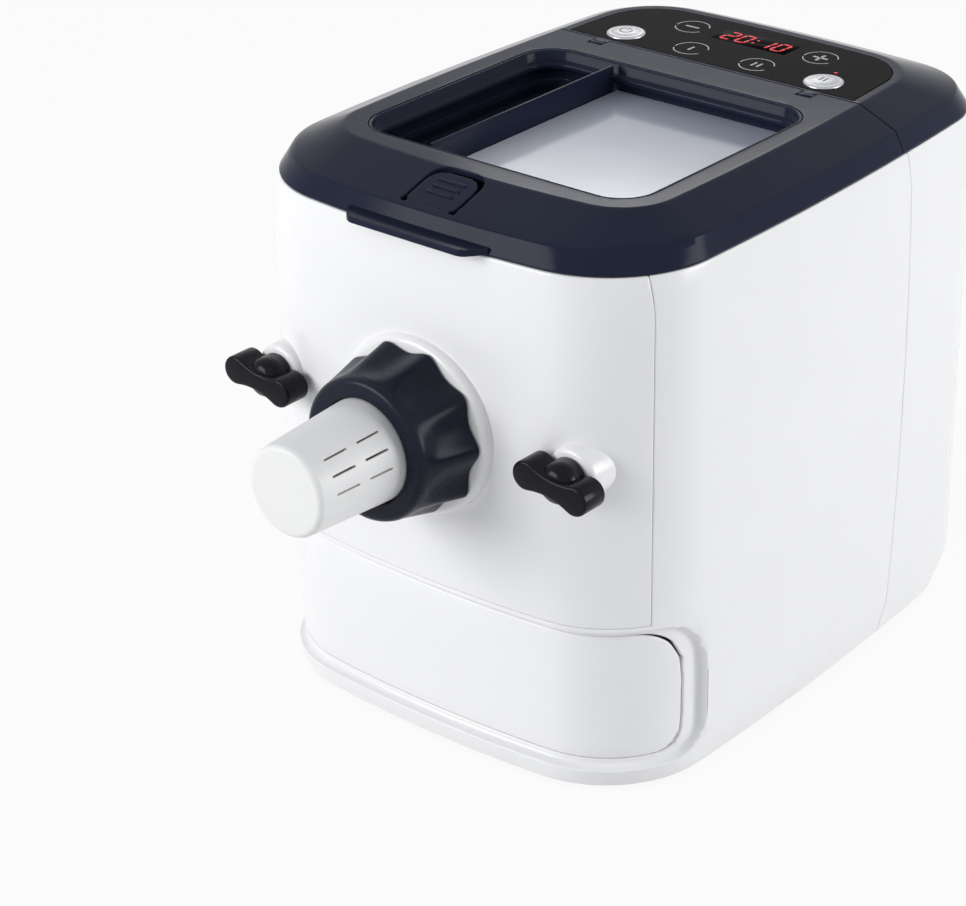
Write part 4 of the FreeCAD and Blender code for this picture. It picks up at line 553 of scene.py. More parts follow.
WINDOW = window_with_painted_reflection()
RED = lamp("red_digits", (0.60, 0.006, 0.012), 0.75)
print("finishes with the window and the lit prints:", len(bpy.data.materials))

# %% [markdown]
# ## The body's skin
# The side wall stands straight, rounds in under the lid and turns in at the foot. The rings are
# close together where the wall curves and far apart where it doesn't.

# %% body skin
FOOT_LINE = 21.0
FOOT_INSET = (4.0, 10.0)
SHOULDER = 236.0
TOP_INSET = 2.4
WALL = 3.0
FOOT_ROLL = 4.0
FOOT_SWELL = 0.03
BODY_RINGS = (2.5, 5, 8, 11, 14, 17, 19.5, 21, 22.5, 26, 34, 44, 54, 64, 74, 84, 92, 104, 116, 128,
              140, 150, 160, 170, 180, 190, 202, 214, 226, 236, 241, 246, 250, 253, 256, 258.2)


def body_ring(z, inset):
    """The body's outline at a height, moved in by an inset."""
    foot = max(0.0, 1 - (z - BODY_RINGS[0]) / (FOOT_LINE - BODY_RINGS[0]))
    if abs(z - FOOT_LINE) < FOOT_ROLL:
        foot += FOOT_SWELL * (1 - abs(z - FOOT_LINE) / FOOT_ROLL)
    lean = max(0.0, (z - SHOULDER) / (BODY_RINGS[-1] - SHOULDER)) ** 2 * TOP_INSET
    side = foot * FOOT_INSET[0] + lean
    back = foot * FOOT_INSET[1] + lean
    return plan(HALF_WIDTH - side, FRONT + side, REAR - back, CORNERS, inset)


def body_skin(inset=0.0):
    """The whole body's skin at an inset."""
    return skin([(body_ring(z, inset), z) for z in BODY_RINGS])


print("body rings:", len(BODY_RINGS))

# %% [markdown]
# ## The parting lines
# The front panel ends on a plane across the body, and the rear housing starts on a shallow
# curve, which the photograph shows bowing backwards at half height.

# %% parting lines
PANEL_EDGE = -83.0
PANEL_FOOT = 88.5
SEAM = 0.06
SPLIT_BOW = 1300.0
SPLIT_LEVEL = 150.0
SPLIT_REAR = 111.0
ELSEWHERE = 999.0
NOZZLE_HOLE = 31.0
STUD_HOLE = 5.0


def behind_split(p):
    """How far a point lies behind the curved rear parting line."""
    drop_back = SPLIT_BOW - math.sqrt(SPLIT_BOW ** 2 - (p.z - SPLIT_LEVEL) ** 2)
    return p.y - (SPLIT_REAR - drop_back)


def round_nozzle(p):
    """Distance from the nozzle's axis, for points at the front."""
    return math.hypot(p.x, p.z - NOZZLE) if p.y < 0 else ELSEWHERE


KNOB_ACROSS = (span("knob_boss_right")[0].x + span("knob_boss_right")[1].x) / 2


def round_stud(p):
    """Distance from the nearer wing knob's axis."""
    return math.hypot(abs(p.x) - KNOB_ACROSS, p.z - NOZZLE) if p.y < 0 else ELSEWHERE


def cut_front_holes(bm):
    """The nozzle's hole and the two studs' holes."""
    for reach, field in ((NOZZLE_HOLE, round_nozzle), (STUD_HOLE, round_stud)):
        slit(bm, lambda p: field(p) - reach, near=lambda p: field(p) < reach + CUT_REACH)
        drop(bm, lambda p: field(p) < reach)


# %% front panel
bm = body_skin()
slit(bm, lambda p: p.y - (PANEL_EDGE - SEAM))
slit(bm, lambda p: p.z - PANEL_FOOT)
drop(bm, lambda p: p.y > PANEL_EDGE - SEAM or p.z < PANEL_FOOT)
cut_front_holes(bm)
front_panel = piece(bm, "front_panel_skin", "housing", WHITE, ["front_panel"], WALL, 1.0, 3)
print("front panel faces:", faces_of(front_panel))

# %% [markdown]
# ## The arch round the drawer
# The drawer sits in an arch that wraps both front corners. Its edge rolls into the body as a
# cove. The skin is slit along several lines that follow the arch, and each line is pushed in by
# its share of a quarter ellipse, so the cove is smooth with few faces.

# %% arch
ARCH_REAR = -51.0
ARCH_LEVELS = (12.0, 86.0)
ARCH_ROUNDS = (18.0, 30.0)
ARCH_STEP = 5.2
COVE = 3.2
LEDGE = 11.0
RIM = 4.0
COVE_LINES = (0.0, 0.15, 0.45, 0.95, 1.6, 2.4, COVE)
ARCH_BEFORE = -20.0
ARCH_BELOW = 110.0


def inside_arch(p, rear=ARCH_REAR, levels=ARCH_LEVELS, rounds=ARCH_ROUNDS):
    """How far a point lies inside an arch that is open to the front."""
    low_y, high_y = rear - rounds[0], rear - rounds[1]
    if p.z > levels[1] - rounds[1] and p.y > high_y:
        return rounds[1] - math.hypot(p.y - high_y, p.z - levels[1] + rounds[1])
    if p.z < levels[0] + rounds[0] and p.y > low_y:
        return rounds[0] - math.hypot(p.y - low_y, p.z - levels[0] - rounds[0])
    return min(rear - p.y, levels[1] - p.z, p.z - levels[0])


def inside_mouth(p, gap=0.0):
    """How far a point lies inside the drawer's mouth."""
    return inside_arch(p, ARCH_REAR - LEDGE, (ARCH_LEVELS[0] + RIM, ARCH_LEVELS[1] - RIM),
                       (ARCH_ROUNDS[0] - RIM, ARCH_ROUNDS[1] - RIM)) - gap


def press_in(bm, depth_of):
    """Push each point in along its own level normal."""
    bm.normal_update()
    moves = []
    for v in bm.verts:
        depth = depth_of(v.co)
        if depth > 0:
            inward = -Vector((v.normal.x, v.normal.y, 0)).normalized()
            moves.append((v, inward * depth))
    for v, shift in moves:
        v.co += shift


def cove_depth(p):
    """Depth of the cove at a point of the plain skin."""
    share = min(max(inside_arch(p) / COVE, 0.0), 1.0)
    return ARCH_STEP * math.sqrt(1 - (1 - share) ** 2)


def front_low(p):
    """The part of the body that the arch can reach."""
    return p.y < ARCH_BEFORE and p.z < ARCH_BELOW


# %% [markdown]
# The housing is all of the skin that no other casing takes. A second skin, set in by the wall,
# stands behind the front panel, as the real moulding does, so that the hair-thin seam between
# the two shows white plastic and not the dark inside.

# %% main housing
BACKING_GAP = 0.2
BACKING_EDGE = 0.5
BACKING_FOOT = 2.0
bm = body_skin()
slit(bm, behind_split)
slit(bm, lambda p: p.y - PANEL_EDGE)
slit(bm, lambda p: p.z - (PANEL_FOOT - SEAM))
drop(bm, lambda p: behind_split(p) > 0 or (p.y < PANEL_EDGE and p.z > PANEL_FOOT - SEAM))
for line in COVE_LINES:
    slit(bm, lambda p, line=line: inside_arch(p) - line, snap=0.12, near=front_low)
slit(bm, inside_mouth, snap=0.3, near=front_low)
drop(bm, lambda p: inside_mouth(p) > 0)
press_in(bm, cove_depth)
backing = body_skin(WALL + BACKING_GAP)
slit(backing, lambda p: p.y - PANEL_EDGE + BACKING_EDGE)
slit(backing, lambda p: p.z - PANEL_FOOT + BACKING_FOOT)
drop(backing, lambda p: p.y > PANEL_EDGE - BACKING_EDGE or p.z < PANEL_FOOT - BACKING_FOOT)
cut_front_holes(backing)
main_housing = piece(join(bm, backing), "main_housing_skin", "housing", WHITE, ["main_housing"],
                     WALL, 0.8, 3)
print("main housing faces:", faces_of(main_housing))

# %% [markdown]
# The rear casing takes the skin behind the curved line. Air leaves through two columns of level
# slots, and the mains inlet fills a window below them. Both are cut while the skin is still a
# sheet, so that the wall's thickness shows in every slot.

# %% rear housing
VENT_ROWS = 7
VENT_PITCH = 9.0
VENT_HEIGHT = 3.5
VENT_START = 96.0
VENT_ACROSS = 24.0
VENT_HALF = 18.0
BACK_FROM = 150.0
INLET_RIM = 2.8
INLET_LOW, INLET_HIGH = span("mains_inlet")


def at_back(p):
    """Whether a point lies on the rear wall."""
    return p.y > BACK_FROM


bm = body_skin()
slit(bm, lambda p: behind_split(p) - SEAM)
drop(bm, lambda p: behind_split(p) < SEAM)
for row in range(VENT_ROWS):
    sill = VENT_START + VENT_PITCH * row
    for side in (-VENT_ACROSS, VENT_ACROSS):
        window(bm, X_OF, Z_OF, (side - VENT_HALF, side + VENT_HALF), (sill, sill + VENT_HEIGHT), at_back)
window(bm, X_OF, Z_OF, (INLET_LOW.x + INLET_RIM, INLET_HIGH.x - INLET_RIM),
       (INLET_LOW.z + INLET_RIM, INLET_HIGH.z - INLET_RIM), at_back)
rear_housing = piece(bm, "rear_housing_skin", "housing", WHITE, ["rear_housing"], WALL, 0.6)
print("rear housing faces:", faces_of(rear_housing))

# %% [markdown]
# ## The storage drawer
# Its front is the same skin, set back by the cove's depth and trimmed to the mouth. The tray
# behind it is a flat outline with round corners, raised into walls.

# %% drawer
DRAWER_GAP = 0.25
TRAY_LOW, TRAY_HIGH = span("storage_drawer")
TRAY_HALF = 98.0
TRAY_WALL = 2.4
TRAY_HEIGHT = 57.5
TRAY_LEVEL = 40.0
SET_BACK = 0.2
bm = body_skin(ARCH_STEP + SET_BACK)
slit(bm, lambda p: inside_mouth(p, DRAWER_GAP), snap=0.3, near=front_low)
drop(bm, lambda p: inside_mouth(p, DRAWER_GAP) < 0 or p.y > ARCH_BEFORE)
bmesh.ops.remove_doubles(bm, verts=bm.verts, dist=0.05)
drawer_front = piece(bm, "drawer_front", "drawer", WHITE, ["storage_drawer"], TRAY_WALL, 0.9,
                     3)

bm = bmesh.new()
bm.faces.new(ring(bm, body_ring(TRAY_LEVEL, ARCH_STEP + TRAY_WALL), TRAY_LOW.z + SET_BACK))
trim(bm, (TRAY_HALF, 0, 0), (1, 0, 0))
trim(bm, (-TRAY_HALF, 0, 0), (-1, 0, 0))
trim(bm, (0, TRAY_HIGH.y, 0), (0, 1, 0))
grown = raise_faces(bm, bm.faces[:], (0, 0, TRAY_HEIGHT))
ceiling = [item for item in grown if isinstance(item, bmesh.types.BMFace)]
bmesh.ops.delete(bm, geom=ceiling, context="FACES")
bmesh.ops.recalc_face_normals(bm, faces=bm.faces)
drawer_tray = piece(bm, "drawer_tray", "drawer", WHITE, (), TRAY_WALL, 0.5)
print("drawer faces:", faces_of(drawer_front, drawer_tray))

# %% [markdown]
# ## The lid and the rear cover
# They are one form, parted across: a leaning band, a slope and a flat top. The flat top starts
# as a single face and is ruled into squares, so that the window's opening and the panel's
# pocket can be cut from it along round contours.

# %% lid skin
LID_FOOT = 259.0
BAND_TOP = 268.5
TOP = LID_HIGH.z
BAND_IN = 4.7
TOP_HALF = 92.0
TOP_FRONT = -76.5
TOP_REAR = 169.0
TOP_CORNERS = (28.0, 34.0)
LID_SEAM = 103.1
OPENING_X = (-78.5, 79.4)
OPENING_Y = (-61.0, 79.0)
OPENING_CORNER = 17.0
BEZEL_RIM = 2.0
LID_INSET = 2.5
LID_REACH = 0.5
BAND_FRONT = FRONT + LID_INSET - LID_REACH
BAND_REAR = REAR - LID_INSET + LID_REACH
SLOPE_FOOT = BAND_FRONT + BAND_IN
SLOPE_STEPS = (0.0, 0.1, 0.2, 0.3, 0.4, 0.5, 0.6, 0.7, 0.8, 0.9, 0.965)
CROWN_IN = 0.9
TOP_MIDDLE = 46.0
RULE_STEP = 4.0


def blend_outline(first, second, share):
    """An outline part of the way between two."""
    return [a.lerp(b, share) for a, b in zip(first, second)]


def lid_skin():
    """Band, slope and flat top in one skin."""
    foot = plan(HALF_WIDTH - LID_INSET, BAND_FRONT, BAND_REAR)
    band = plan(HALF_WIDTH - LID_INSET - BAND_IN, SLOPE_FOOT, BAND_REAR - BAND_IN)
    top = plan(TOP_HALF, TOP_FRONT, TOP_REAR, TOP_CORNERS)
    crown = plan(TOP_HALF, TOP_FRONT, TOP_REAR, TOP_CORNERS, CROWN_IN)
    levels = [(blend_outline(foot, band, i / 3), LID_FOOT + (BAND_TOP - LID_FOOT) * i / 3) for i in range(3)]
    levels += [(blend_outline(band, top, share), BAND_TOP + (TOP - BAND_TOP) * share)
               for share in SLOPE_STEPS]
    levels += [(blend_outline(top, crown, 0.15), TOP - 0.05), (crown, TOP)]
    bm = skin(levels)
    rim = [v for v in bm.verts if v.co.z > TOP - 0.01]
    flat = bm.faces.new(sorted(rim, key=lambda v: math.atan2(v.co.y - TOP_MIDDLE, v.co.x)))
    flat.normal_update()
    if flat.normal.z < 0:
        flat.normal_flip()
    rule_squares(bm, lines(-22, 23, 0.7), lines(-18, 42, 1.3))
    return bm


def rule(bm, point, normal):
    """Rule one straight line across the flat top."""
    faces = [f for f in bm.faces if f.normal.z > 0.999 and f.calc_center_median().z > TOP - 0.01]
    items = faces + list({e for f in faces for e in f.edges}) + list({v for f in faces for v in f.verts})
    bmesh.ops.bisect_plane(bm, geom=items, plane_co=point, plane_no=normal, dist=0.01)
    for f in bm.faces:
        f.normal_update()


def lines(first, end, shift):
    """Places of evenly spaced lines."""
    return [step * RULE_STEP + shift for step in range(first, end)]


def rule_squares(bm, x_lines, y_lines):
    """Rule the flat top into squares."""
    for x in x_lines:
        rule(bm, (x, 0, 0), (1, 0, 0))
    for y in y_lines:
        rule(bm, (0, y, 0), (0, 1, 0))


def on_top(p):
    """Whether a point lies on the flat top."""
    return p.z > TOP - 0.1


def inside_opening(p):
    """How far a point lies inside the window's opening, widened by the bezel's rim."""
    return box_distance(p.x, p.y, (OPENING_X[0] - BEZEL_RIM, OPENING_X[1] + BEZEL_RIM),
                        (OPENING_Y[0] - BEZEL_RIM, OPENING_Y[1] + BEZEL_RIM), OPENING_CORNER + BEZEL_RIM)


print("lid levels:", LID_FOOT, BAND_TOP, TOP)


# %% [markdown]
# ## The latch
# A tongue in the lid's front slope slides back to free the lid. It is the same skin as the lid,
# kept where the lid's is cut away, with a wide dark gap behind it and three raised grips.

# %% lid frame
LATCH_HALF = 14.0
LATCH_FRONT = -101.5
LATCH_REAR = -79.5
LATCH_CORNER = 8.0
LATCH_GAP = 1.3
LATCH_SLACK = 4.2
LATCH_FRONT_GAP = 0.25
LATCH_ACROSS = 26.0
LATCH_BEHIND = -66.0
EAR_ACROSS = 62.0
EAR_HALF = 4.2
EAR_NOTCH = 3.8
LID_GAP = 0.4
HINGE_DEPTH = 3.5
HINGE_Y = LID_SEAM - LID_GAP - HINGE_DEPTH


def inside_latch(p, side=0.0, slack=0.0, front=0.0):
    """How far a point lies inside the latch's outline; only the rear corners are round."""
    outline = box_distance(p.x, p.y, (-LATCH_HALF - side, LATCH_HALF + side),
                           (LATCH_FRONT - 30, LATCH_REAR + slack), LATCH_CORNER + side)
    return min(outline, p.y - (LATCH_FRONT - front))


def around_latch(p):
    """The part of the lid near the latch."""
    return abs(p.x) < LATCH_ACROSS and p.y < LATCH_BEHIND and p.z > BAND_TOP - 3


def latch_gap(p):
    """How far a point lies inside the gap round the latch."""
    return inside_latch(p, LATCH_GAP, LATCH_SLACK, LATCH_FRONT_GAP)


bm = lid_skin()
slit(bm, lambda p: p.y - (LID_SEAM - LID_GAP))
drop(bm, lambda p: p.y > LID_SEAM - LID_GAP)
slit(bm, inside_opening, snap=0.4, near=on_top)
drop(bm, lambda p: inside_opening(p) > 0)
slit(bm, latch_gap, snap=0.25, near=around_latch)
drop(bm, lambda p: around_latch(p) and latch_gap(p) > 0)
for side in (-EAR_ACROSS, EAR_ACROSS):
    window(bm, X_OF, Y_OF, (side - EAR_HALF, side + EAR_HALF), (HINGE_Y - EAR_NOTCH, LID_SEAM + 2), on_top)
lid_frame = piece(bm, "lid_frame_skin", "lid", NAVY, ["lid_frame"], WALL, 0.55, 3)
print("lid frame faces:", faces_of(lid_frame))

# %% latch
bm = lid_skin()
slit(bm, inside_latch, snap=0.25, near=around_latch)
drop(bm, lambda p: not around_latch(p) or inside_latch(p) < 0)
tongue = piece(bm, "latch_tongue", "latch", NAVY, (), 2.4, 0.5, 3)

LATCH_FOOT = span("latch_button")[0].z
SLOPE = math.atan2(TOP - BAND_TOP, TOP_FRONT - SLOPE_FOOT)
GRIP_FIRST = -94.0
GRIP_PITCH = 4.4
GRIP_HALF = 7.5
GRIP_GROWTH = 0.3
grips = []
for row in range(3):
    away = GRIP_FIRST + GRIP_PITCH * row
    height = BAND_TOP + (away - SLOPE_FOOT) * math.tan(SLOPE)
    half = GRIP_HALF + row * GRIP_GROWTH
    bar = block((-half, half), (-0.75, 0.75), (-0.6, 0.75), 0.5, 3)
    grips.append(move(bar, 0, away, height, Matrix.Rotation(SLOPE, 4, "X")))
latch_grips = piece(join(*grips), "latch_grips", "latch", NAVY)
HOOK_HALF = 6.0
HOOK_TOP = LATCH_FOOT + 21.5
HOOK = {
    "plate": ((-103.4, -101.4), (LATCH_FOOT, HOOK_TOP)),
    "barb": ((-105.4, -101.6), (LATCH_FOOT, LATCH_FOOT + 3.9)),
    "arm": ((-103.4, -95.5), (HOOK_TOP - 3, HOOK_TOP)),
    "post": ((-101.2, -95.6), (HOOK_TOP - 1, HOOK_TOP + 3.2)),
}
bars = [block((-HOOK_HALF, HOOK_HALF), y, z, 0.4) for y, z in HOOK.values()]
latch_hook = piece(join(*bars), "latch_hook", "latch", NAVY, ["latch_button"])
print("latch faces:", faces_of(tongue, latch_grips, latch_hook))

# %% [markdown]
# ## The front lip
# Fingers lift the lid by a thin shelf under its band. Its ends are cut back at a slant.

# %% lip
LIP_FRONT = LID_LOW.y
LIP_LEVELS = (LID_FOOT + 0.2, LID_FOOT + 3.4)
LIP_HALF = 42.0
LIP_SLANT = 9.0
LIP_DEPTH = 11.0
LIP_ROUND = 3.0
bm = bmesh.new()
corners = [(-LIP_HALF, LIP_FRONT + LIP_DEPTH), (-LIP_HALF + LIP_SLANT, LIP_FRONT),
           (LIP_HALF - LIP_SLANT, LIP_FRONT), (LIP_HALF, LIP_FRONT + LIP_DEPTH)]
base = bm.faces.new([bm.verts.new((x, y, LIP_LEVELS[0])) for x, y in corners])
raise_faces(bm, [base], (0, 0, LIP_LEVELS[1] - LIP_LEVELS[0]))
bmesh.ops.recalc_face_normals(bm, faces=bm.faces)
upright = [e for e in bm.edges if abs(e.verts[0].co.z - e.verts[1].co.z) > 1]
bmesh.ops.bevel(bm, geom=upright, affect="EDGES", offset=LIP_ROUND, segments=4, profile=0.5, material=-1)
lip = piece(bm, "lid_lip", "lid", NAVY, (), 0, 0.6, 3)
print("lip faces:", faces_of(lip))

# %% [markdown]
# ## The rear cover and the hinge ears
# The cover is the lid's own skin behind the seam, so the two always meet in one line. A pocket
# for the glass is cut from its flat top, and two small knuckles carry the hinge pins.

# %% rear cover
EAR_RADIUS = 3.6
EAR_WIDTH = 8.0
EAR_EDGE = 0.1
EAR_TOP = TOP - 0.06
GLASS_MARGIN = 4.6
GLASS_REAR = 164.0
GLASS_FRONT = 105.0
POCKET_GAP = 0.2
GLASS_CORNERS = (TOP_CORNERS[0], TOP_CORNERS[1] - GLASS_MARGIN)


def inside_outline(outline):
    """A field: how far a point lies inside an outline, by its nearest edge."""
    pairs = list(zip(outline, outline[1:] + outline[:1]))

    def field(p):
        spot = Vector((p.x, p.y))
        best = 1e9
        for a, b in pairs:
            along = b - a
            share = min(max((spot - a).dot(along) / along.length_squared, 0.0), 1.0)
            best = min(best, (spot - a - along * share).length)
        wraps = sum(1 for a, b in pairs
                    if (a.y > spot.y) != (b.y > spot.y)
                    and spot.x < (b.x - a.x) * (spot.y - a.y) / (b.y - a.y) + a.x)
        return best if wraps % 2 else -best

    return field


glass_outline = plan(TOP_HALF - GLASS_MARGIN, TOP_FRONT, GLASS_REAR, GLASS_CORNERS)
inside_glass = inside_outline(glass_outline)
bm = lid_skin()
slit(bm, lambda p: p.y - LID_SEAM)
drop(bm, lambda p: p.y < LID_SEAM)
slit(bm, lambda p: p.y - (GLASS_FRONT - POCKET_GAP), near=on_top)
slit(bm, inside_glass, snap=0.3, near=on_top)
drop(bm, lambda p: on_top(p) and p.y > GLASS_FRONT - POCKET_GAP and inside_glass(p) > 0)
rear_cover = piece(bm, "rear_cover_skin", "housing", NAVY, ["rear_cover"], WALL, 0.5, 3)
ears = []
for side in (-EAR_ACROSS, EAR_ACROSS):
    knuckle = turned([(0.0, 0.0), (EAR_RADIUS - EAR_EDGE, 0.0), (EAR_RADIUS, EAR_EDGE),
                      (EAR_RADIUS, EAR_WIDTH - EAR_EDGE), (EAR_RADIUS - EAR_EDGE, EAR_WIDTH),
                      (0.0, EAR_WIDTH)], 48)
    move(knuckle, side - EAR_WIDTH / 2, HINGE_Y, TOP - HINGE_DEPTH, Matrix.Rotation(math.radians(90), 4, "Y"))
    for v in knuckle.verts:
        v.co.z = min(v.co.z, EAR_TOP)
    ears.append(knuckle)
    ears.append(block((side - EAR_WIDTH / 2, side + EAR_WIDTH / 2), (HINGE_Y, LID_SEAM + 1),
                      (TOP - 6.0, EAR_TOP), 0.15))
hinge_ears = piece(join(*ears), "hinge_ears", "housing", NAVY)
print("rear cover and ear faces:", faces_of(rear_cover, hinge_ears))

# %% [markdown]
# ## The window's bezel
# A moulding lines the opening: a wall, a rolled bead half way down that catches the light, and
# a ledge for the window. One cross-section is repeated round the opening and bridged.

# %% bezel
def rounded_rectangle(x, y, corner, steps=10):
    """Points round a rectangle with round corners, anticlockwise."""
    spots = []
    for i, (cx, cy) in enumerate(((x[1], y[0]), (x[1], y[1]), (x[0], y[1]), (x[0], y[0]))):
        inward_x = corner if cx == x[0] else -corner
        inward_y = corner if cy == y[0] else -corner
        centre = Vector((cx + inward_x, cy + inward_y))
        start = math.radians(90 * i - 90)
        spots += [centre + corner * unit_at(start + math.pi / 2 * k / steps) for k in range(steps + 1)]
    return spots


BEAD_LEVEL = 269.5
BEAD = 2.4
LEDGE_LEVEL = 262.0
LEDGE_WIDTH = 4.0
BEZEL_FOOT = 260.0
section = [(-BEZEL_RIM, BEZEL_FOOT), (-BEZEL_RIM, TOP - 1.0), (-1.6, TOP - 0.35), (-1.0, TOP - 0.1),
           (-0.4, TOP - 0.35), (0.0, TOP - 1.0), (0.0, BEAD_LEVEL + BEAD + 0.25)]
section += [(BEAD * math.cos(a), BEAD_LEVEL + BEAD * math.sin(a))
            for a in (math.radians(80 - 20 * i) for i in range(9))]
section += [(0.0, BEAD_LEVEL - BEAD - 0.25), (0.0, LEDGE_LEVEL + 0.3), (0.3, LEDGE_LEVEL),
            (LEDGE_WIDTH - 0.2, LEDGE_LEVEL), (LEDGE_WIDTH, LEDGE_LEVEL - 0.2), (LEDGE_WIDTH, BEZEL_FOOT)]
bm = bmesh.new()
rings = []
for reach, z in section:
    outline = rounded_rectangle((OPENING_X[0] + reach, OPENING_X[1] - reach),
                                (OPENING_Y[0] + reach, OPENING_Y[1] - reach), OPENING_CORNER - reach)
    rings.append(ring(bm, outline, z))
bridge_round(bm, rings)
bezel = piece(bm, "window_bezel_ring", "lid", NAVY, ["window_bezel"])
print("bezel faces:", faces_of(bezel))

# %% [markdown]
# The sheet fills the opening up to the open channel at the left. A ring gives its round corners
# on the right, and a plane trims its straight left side, which meets the divider's wall.

# %% window, divider
WINDOW_LOW, WINDOW_HIGH = span("lid_window")
DIVIDER_LOW, DIVIDER_HIGH = span("inlet_divider")
pane_outline = rounded_rectangle((WINDOW_LOW.x - 30, WINDOW_HIGH.x), (WINDOW_LOW.y, WINDOW_HIGH.y),
                                 OPENING_CORNER - 0.3)
bm = bmesh.new()
bm.faces.new(ring(bm, pane_outline, WINDOW_HIGH.z))
trim(bm, (WINDOW_LOW.x, 0, 0), (-1, 0, 0))
face_up(bm)
window_pane = piece(bm, "lid_window_pane", "lid", WINDOW, ["lid_window"], WINDOW_HIGH.z - WINDOW_LOW.z,
                    0.25)
DIVIDER_CLEAR = 2.6
bm = block((DIVIDER_LOW.x, DIVIDER_HIGH.x), (DIVIDER_LOW.y + DIVIDER_CLEAR, DIVIDER_HIGH.y - DIVIDER_CLEAR),
           (WINDOW_LOW.z, DIVIDER_HIGH.z), 0.25, 3)
divider = piece(bm, "inlet_divider_wall", "lid", NAVY, ["inlet_divider"])
print("window and divider faces:", faces_of(window_pane, divider))

# %% [markdown]
# ## The control panel
# The glass is a flat outline with its front cut straight. Lines and rings are printed on it, and
# the digits shine through. The photograph's words are left out, and plain signs stand there.

# %% glass
KEY_ACROSS = (span("start_button")[0].x + span("start_button")[1].x) / 2
KEY_ROW = (span("start_button")[0].y + span("start_button")[1].y) / 2
GLASS_TOP = span("control_glass")[1].z
KEY_RADIUS = 9.8
KEY_CLEAR = 0.3
bm = bmesh.new()
outline = plan(TOP_HALF - GLASS_MARGIN, TOP_FRONT, GLASS_REAR, GLASS_CORNERS, 0.2)
bm.faces.new(ring(bm, outline, GLASS_TOP))
face_up(bm)
trim(bm, (0, GLASS_FRONT, 0), (0, -1, 0))
rule_squares(bm, lines(-22, 23, 1.0), lines(27, 42, 1.5))


def from_key(p):
    """Distance from the nearer key's centre."""
    return math.hypot(abs(p.x) - KEY_ACROSS, p.y - KEY_ROW)


slit(bm, lambda p: from_key(p) - KEY_RADIUS - KEY_CLEAR, snap=0.4)
drop(bm, lambda p: from_key(p) < KEY_RADIUS + KEY_CLEAR)
glass = piece(bm, "control_glass_sheet", "housing", PANEL, ["control_glass"], 1.9, 0.35, 3)
print("glass faces:", faces_of(glass))

# %% [markdown]
# Each key is a metal cap with a flange under the glass that keeps it in. Its top has a soft
# rim, a shallow ring and a low dome, which is one profile turned about the key's axis.

# %% keys
for side, name, body in ((-1, "power_button", "power_key"), (1, "start_button", "start_key")):
    low, high = span(name)
    profile = [(0.0, low.z), (KEY_RADIUS + 1.4, low.z), (KEY_RADIUS + 1.4, low.z + 1.6),
               (KEY_RADIUS, low.z + 1.8), (KEY_RADIUS, TOP - 0.2), (KEY_RADIUS - 0.15, TOP + 0.35),
               (KEY_RADIUS - 0.7, TOP + 0.75),
               (KEY_RADIUS - 1.5, TOP + 0.85), (KEY_RADIUS - 2.1, TOP + 0.8), (KEY_RADIUS - 2.7, TOP + 1.0),
               (KEY_RADIUS * 0.5, high.z - 0.12), (KEY_RADIUS * 0.25, high.z - 0.03), (0.0, high.z)]
    bm = move(turned(profile), side * KEY_ACROSS, KEY_ROW, 0)
    silver = spun_cap(name + "_silver", side * KEY_ACROSS, KEY_ROW)
    cap = piece(bm, name + "_cap", body, silver, [name])
    print(name, "cap faces:", faces_of(cap))

# %% [markdown]
# The panel's print is modelled as thin raised strips, because a printed picture isn't used. An
# arc is a short line spun about a ring's centre, and a bar is a flat block.

# %% printed signs
PRINT_LEVEL = TOP + 0.06
PRINT_DEPTH = 0.08


def arc_strip(x, y, radius, width, start, end, steps=40, z=PRINT_LEVEL):
    """A flat printed arc: a short line spun about a centre."""
    bm = bmesh.new()
    a = bm.verts.new((radius - width / 2, 0, 0))
    b = bm.verts.new((radius + width / 2, 0, 0))
    line = bm.edges.new((a, b))
    bmesh.ops.rotate(bm, verts=[a, b], cent=(0, 0, 0), matrix=Matrix.Rotation(math.radians(start), 3, "Z"))
    whole = abs(end - start) > 359
    bmesh.ops.spin(bm, geom=[a, b, line], cent=(0, 0, 0), axis=(0, 0, 1), angle=math.radians(end - start),
                   steps=steps, use_merge=whole)
    face_up(bm)
    return move(bm, x, y, z)


def bar_strip(x, y, length, width, degrees=0.0, z=PRINT_LEVEL):
    """A flat printed bar."""
    bar = block((-length / 2, length / 2), (-width / 2, width / 2), (-PRINT_DEPTH, 0.0))
    return move(bar, x, y, z, Matrix.Rotation(math.radians(degrees), 4, "Z"))


RING_ROW = 145.3
RING_ACROSS = 38.4
PROGRAM_ROW = 118.4
PROGRAM_ACROSS = 19.6
RING = 8.6
RING_LINE = 0.55
RING_SPOTS = ((-RING_ACROSS, RING_ROW), (RING_ACROSS, RING_ROW), (-PROGRAM_ACROSS, PROGRAM_ROW),
              (PROGRAM_ACROSS, PROGRAM_ROW))
signs = []
for x, y in RING_SPOTS:
    signs.append(arc_strip(x, y, RING, RING_LINE, 20, 190))
    signs.append(arc_strip(x, y, RING, RING_LINE, 205, 330))
signs.append(bar_strip(-RING_ACROSS, RING_ROW, 8.0, 1.3))
signs.append(bar_strip(RING_ACROSS, RING_ROW, 8.4, 1.4))
signs.append(bar_strip(RING_ACROSS, RING_ROW, 1.4, 8.4))
for x, count in ((-PROGRAM_ACROSS, 1), (PROGRAM_ACROSS, 2)):
    for i in range(count):
        signs.append(bar_strip(x + (i - (count - 1) / 2) * 3.2, PROGRAM_ROW, 1.1, 5.4))
printed_signs = piece(join(*signs), "panel_signs", "housing", PRINT)
print("printed sign faces:", faces_of(printed_signs))

# %% [markdown]
# The keys carry their signs in grey ink: an open ring with a bar for power, and two bars for
# start and pause.

